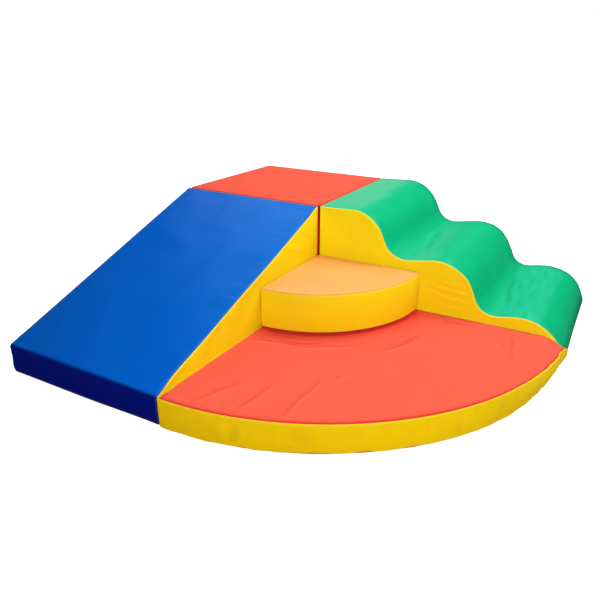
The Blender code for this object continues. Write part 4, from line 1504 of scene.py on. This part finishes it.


# %% [markdown]
# The colours are those of the set: red, blue, yellow, green and a pale orange. Each comes
# with the pale tone of its painted highlights and sheen and the dark one of its painted
# shade. The blue turns to navy on the upright lip. The band of the low step is the yellow
# darkened as painted shade, and the block's sides go to a darker red in the notch than red
# goes elsewhere, for its painted shade.

# %% The colours of the covers
RED, BLUE, YELLOW = (0.795, 0.099, 0.056), (0.0008, 0.100, 0.50), (0.915, 0.745, 0.007)
GREEN, ORANGE, NAVY = (0.0008, 0.450, 0.190), (0.93, 0.40, 0.11), (0.0004, 0.004, 0.14)
SHADED_BAND_YELLOW, PALE_RED, PALE_YELLOW = (0.79, 0.515, 0.0008), (0.95, 0.20, 0.13), (1.0, 0.80, 0.006)
red_fabric = coated_fabric("red coated fabric", RED, PALE_RED, (0.66, 0.014, 0.020),
                           sheen=0.008, rough=0.60)
side_fabric = coated_fabric("red coated fabric in the notch", RED, PALE_RED,
                            (0.30, 0.002, 0.002), sheen=0.008, rough=0.60)
blue_fabric = coated_fabric("blue coated fabric", BLUE, (0.010, 0.20, 0.66),
                            (0.001, 0.02, 0.12), sheen=0.018, rough=0.31,
                            lip=(NAVY, float(ramp_low[1])))
yellow_fabric = coated_fabric("yellow coated fabric", YELLOW, PALE_YELLOW,
                              (0.55, 0.28, 0.004), sheen=0.08, rough=0.55)
green_fabric = coated_fabric("green coated fabric", GREEN, (0.05, 0.62, 0.42),
                             (0.001, 0.16, 0.075), sheen=0.09, rough=0.35)
orange_fabric = coated_fabric("orange coated fabric", ORANGE, (0.97, 0.6, 0.3),
                              (0.62, 0.22, 0.06))
shaded_band_fabric = coated_fabric("deep yellow coated fabric", SHADED_BAND_YELLOW, PALE_YELLOW,
                            (0.45, 0.25, 0.002), sheen=0.03, rough=0.62)
print("fabrics:", sum("fabric" in material.name for material in bpy.data.materials))

# %% [markdown]
# Foam, woven tape, pile, thread and metal all have one colour with a grain. One function
# makes them, and the size and the depth of the grain tell them apart.

# %% Foam, tape and metal
def rough_material(name, colour, scale, depth, rough=0.9, metal=0.0):
    """A finish of one colour with a noisy grain, for foam, tape and metal."""
    mat, tree, shader, start, where = new_material(name)
    grain = start.node("ShaderNodeTexNoise", Vector=where, Scale=scale, Detail=4.0)
    toned = mix(grain, rgba([c * 0.82 for c in colour]), rgba([min(1, c * 1.12) for c in colour]))
    tree.links.new(toned.socket, shader.inputs["Base Color"])
    tree.links.new((rough - 0.08 + grain * 0.14).socket, shader.inputs["Roughness"])
    bump = start.node("ShaderNodeBump", Strength=0.6, Distance=depth, Height=grain)
    tree.links.new(bump.socket, shader.inputs["Normal"])
    shader.inputs["Metallic"].default_value = metal
    return mat


foam_finish = rough_material("open cell foam", (0.80, 0.78, 0.70), 420.0, 0.0008, 0.95)
tape_finish = rough_material("woven zip tape", (0.035, 0.035, 0.038), 900.0, 0.0002, 0.8)
metal_finish = rough_material("zip metal", (0.60, 0.60, 0.58), 260.0, 0.00003, 0.32, 1.0)
hook_finish = rough_material("hook strip", (0.03, 0.03, 0.032), 1100.0, 0.0006, 0.7)
loop_finish = rough_material("loop strip", (0.045, 0.045, 0.05), 700.0, 0.0009, 0.97)
thread_finish = rough_material("stitching thread", (0.62, 0.60, 0.56), 1500.0, 0.0002, 0.75)
dark_thread = rough_material("dark stitching thread", (0.05, 0.05, 0.055), 1500.0, 0.0002, 0.75)
print("finishes in all:", len(bpy.data.materials))

# %% [markdown]
# Finishes on the pieces
#
# A piece's slot says which finish it takes. Stitches are thread, whatever they hold.

# %% Dress the pieces
FINISHES = {"red_vinyl": red_fabric, "blue_vinyl": blue_fabric, "yellow_vinyl": yellow_fabric,
            "green_vinyl": green_fabric, "orange_vinyl": orange_fabric, "foam": foam_finish,
            "zip_tape": tape_finish, "zip_metal": metal_finish, "hook_strip": hook_finish,
            "loop_strip": loop_finish}
for name, obj in made.items():
    slot = obj["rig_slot"]
    finish = FINISHES[slot]
    if name.startswith("stitches"):
        finish = dark_thread if "strip" in slot else thread_finish
    obj.data.materials.append(finish)
# The low step's band takes the yellow darkened as painted shade, and the block's sides a red with
# darker painted shade in the notch.
made["cover_low_step_band"].data.materials[0] = shaded_band_fabric
made["cover_block_sides"].data.materials[0] = side_fabric
for name, node in frame["nodes"].items():
    if not node.hide_render:
        node.data.materials.clear()
        node.data.materials.append(FINISHES[slots[name]])
print("finished pieces:", len(made))

# %% [markdown]
# Floor, light and camera
#
# The set stands on a pale floor in a bright, even studio. The floor is a little brighter
# for the camera than for the light that it sends back, so its shadow stays soft and its far
# parts melt into the white.

# %% Floor
def floor_material():
    """Pale and matt, a little brighter for the camera, so that the shadow stays soft."""
    mat, tree, shader, start, where = new_material("studio floor")
    path = tree.nodes.new("ShaderNodeLightPath")
    seen = Socket(tree, path.outputs["Is Camera Ray"])
    shade = start.node("ShaderNodeTexNoise", Vector=where, Scale=2.0)
    pale = mix(shade, (0.70, 0.70, 0.70, 1), (0.73, 0.73, 0.73, 1))
    tree.links.new(mix(seen, pale, (0.9, 0.9, 0.9, 1)).socket, shader.inputs["Base Color"])
    far = start.node("ShaderNodeVectorMath", {"operation": "LENGTH"}, out=1, i0=where)
    glow = start.node("ShaderNodeMapRange", {"interpolation_type": "SMOOTHSTEP"}, Value=far,
                      From_Min=1.2, From_Max=3.2, To_Min=0.62, To_Max=1.0)
    level = glow * seen
    tree.links.new(start.node("ShaderNodeCombineColor", Red=level, Green=level,
                              Blue=level).socket, shader.inputs["Emission Color"])
    shader.inputs["Emission Strength"].default_value = 1.0
    shader.inputs["Roughness"].default_value = 1.0
    shader.inputs["Specular IOR Level"].default_value = 0.0
    return mat


FLOOR_HALF, FLOOR_DROP = 9.0, 0.0004
corners = FLOOR_HALF * np.array([(-1, -1, 0), (1, -1, 0), (1, 1, 0), (-1, 1, 0)])
floor = mesh_object("floor", corners - (0, 0, FLOOR_DROP), np.array([(0, 1, 2, 3)]))
floor.data.materials.append(floor_material())
floor.visible_glossy = False
print("floor:", floor.name)

# %% [markdown]
# The camera sees a white room. Other rays get only a dim, even light from it, and glossy
# ones almost none, so the colours stay deep. Six soft boxes do the rest: a large one above,
# one in front, weak ones at the right and at the rear, and two for the slope at the left.

# %% World and lamps
world = bpy.data.worlds.new("studio")
bpy.context.scene.world = world
world.use_nodes = True
tree = world.node_tree
background = tree.nodes["Background"]
background.inputs["Color"].default_value = (1, 1, 1, 1)
path = tree.nodes.new("ShaderNodeLightPath")
start = Socket(tree)
seen = Socket(tree, path.outputs["Is Camera Ray"])
mirrored = Socket(tree, path.outputs["Is Glossy Ray"])
AMBIENT, MIRRORED = 0.18, 0.04
tree.links.new((AMBIENT + seen * (1.0 - AMBIENT) + mirrored * (MIRRORED - AMBIENT)).socket,
               background.inputs["Strength"])


def soft_box(name, place, aim, size, power):
    """A square lamp that looks at a point."""
    data = bpy.data.lights.new(name, "AREA")
    data.shape, data.size, data.energy = "SQUARE", size, power
    lamp = bpy.data.objects.new(name, data)
    bpy.context.scene.collection.objects.link(lamp)
    lamp.location = place
    lamp.visible_camera = False
    lamp.rotation_euler = (Vector(aim) - Vector(place)).to_track_quat("-Z", "Y").to_euler()
    return lamp


soft_box("overhead soft box", (0.9, 1.0, 2.8), (0, 0, 0), 2.4, 84)
soft_box("front soft box", (1.3, -3.0, 1.65), (0, 0, 0.1), 1.6, 65)
soft_box("right soft box", (2.9, -1.6, 1.7), (0, 0, 0.1), 1.6, 8)
soft_box("rear soft box", (-1.8, 3.2, 1.5), (0, 0, 0.1), 1.8, 9)
soft_box("left soft box", (-1.8, 1.6, 2.6), (0, 0, 0.1), 1.6, 24)
soft_box("low left soft box", (-3.2, 0.5, 0.5), (-0.75, 0, 0.2), 1.6, 14).visible_glossy = False
print("lamps:", len(bpy.data.lights))

# %% [markdown]
# The camera stands a little above the set and looks down at it. Its place, its direction
# and its focal length were fitted to points of the picture that we rebuild.

# %% Camera
LENS, SENSOR = 34.87, 36.0
CAMERA_PLACE, CAMERA_LOOK = (0.828, -1.6995, 0.925), (-0.4571, 0.7993, -0.3902)
camera_data = bpy.data.cameras.new("camera")
camera_data.lens, camera_data.sensor_width = LENS, SENSOR
camera = bpy.data.objects.new("camera", camera_data)
bpy.context.scene.collection.objects.link(camera)
camera.location = CAMERA_PLACE
camera.rotation_euler = Vector(CAMERA_LOOK).to_track_quat("-Z", "Y").to_euler()
bpy.context.scene.camera = camera
bpy.context.scene.view_settings.view_transform = "Standard"
print(f"camera with {LENS} mm at {CAMERA_PLACE}")

# %% [markdown]
# A last update
#
# The dressed model has to fill the same space as the imported one.

# %% Update the view layer
bpy.context.view_layer.update()
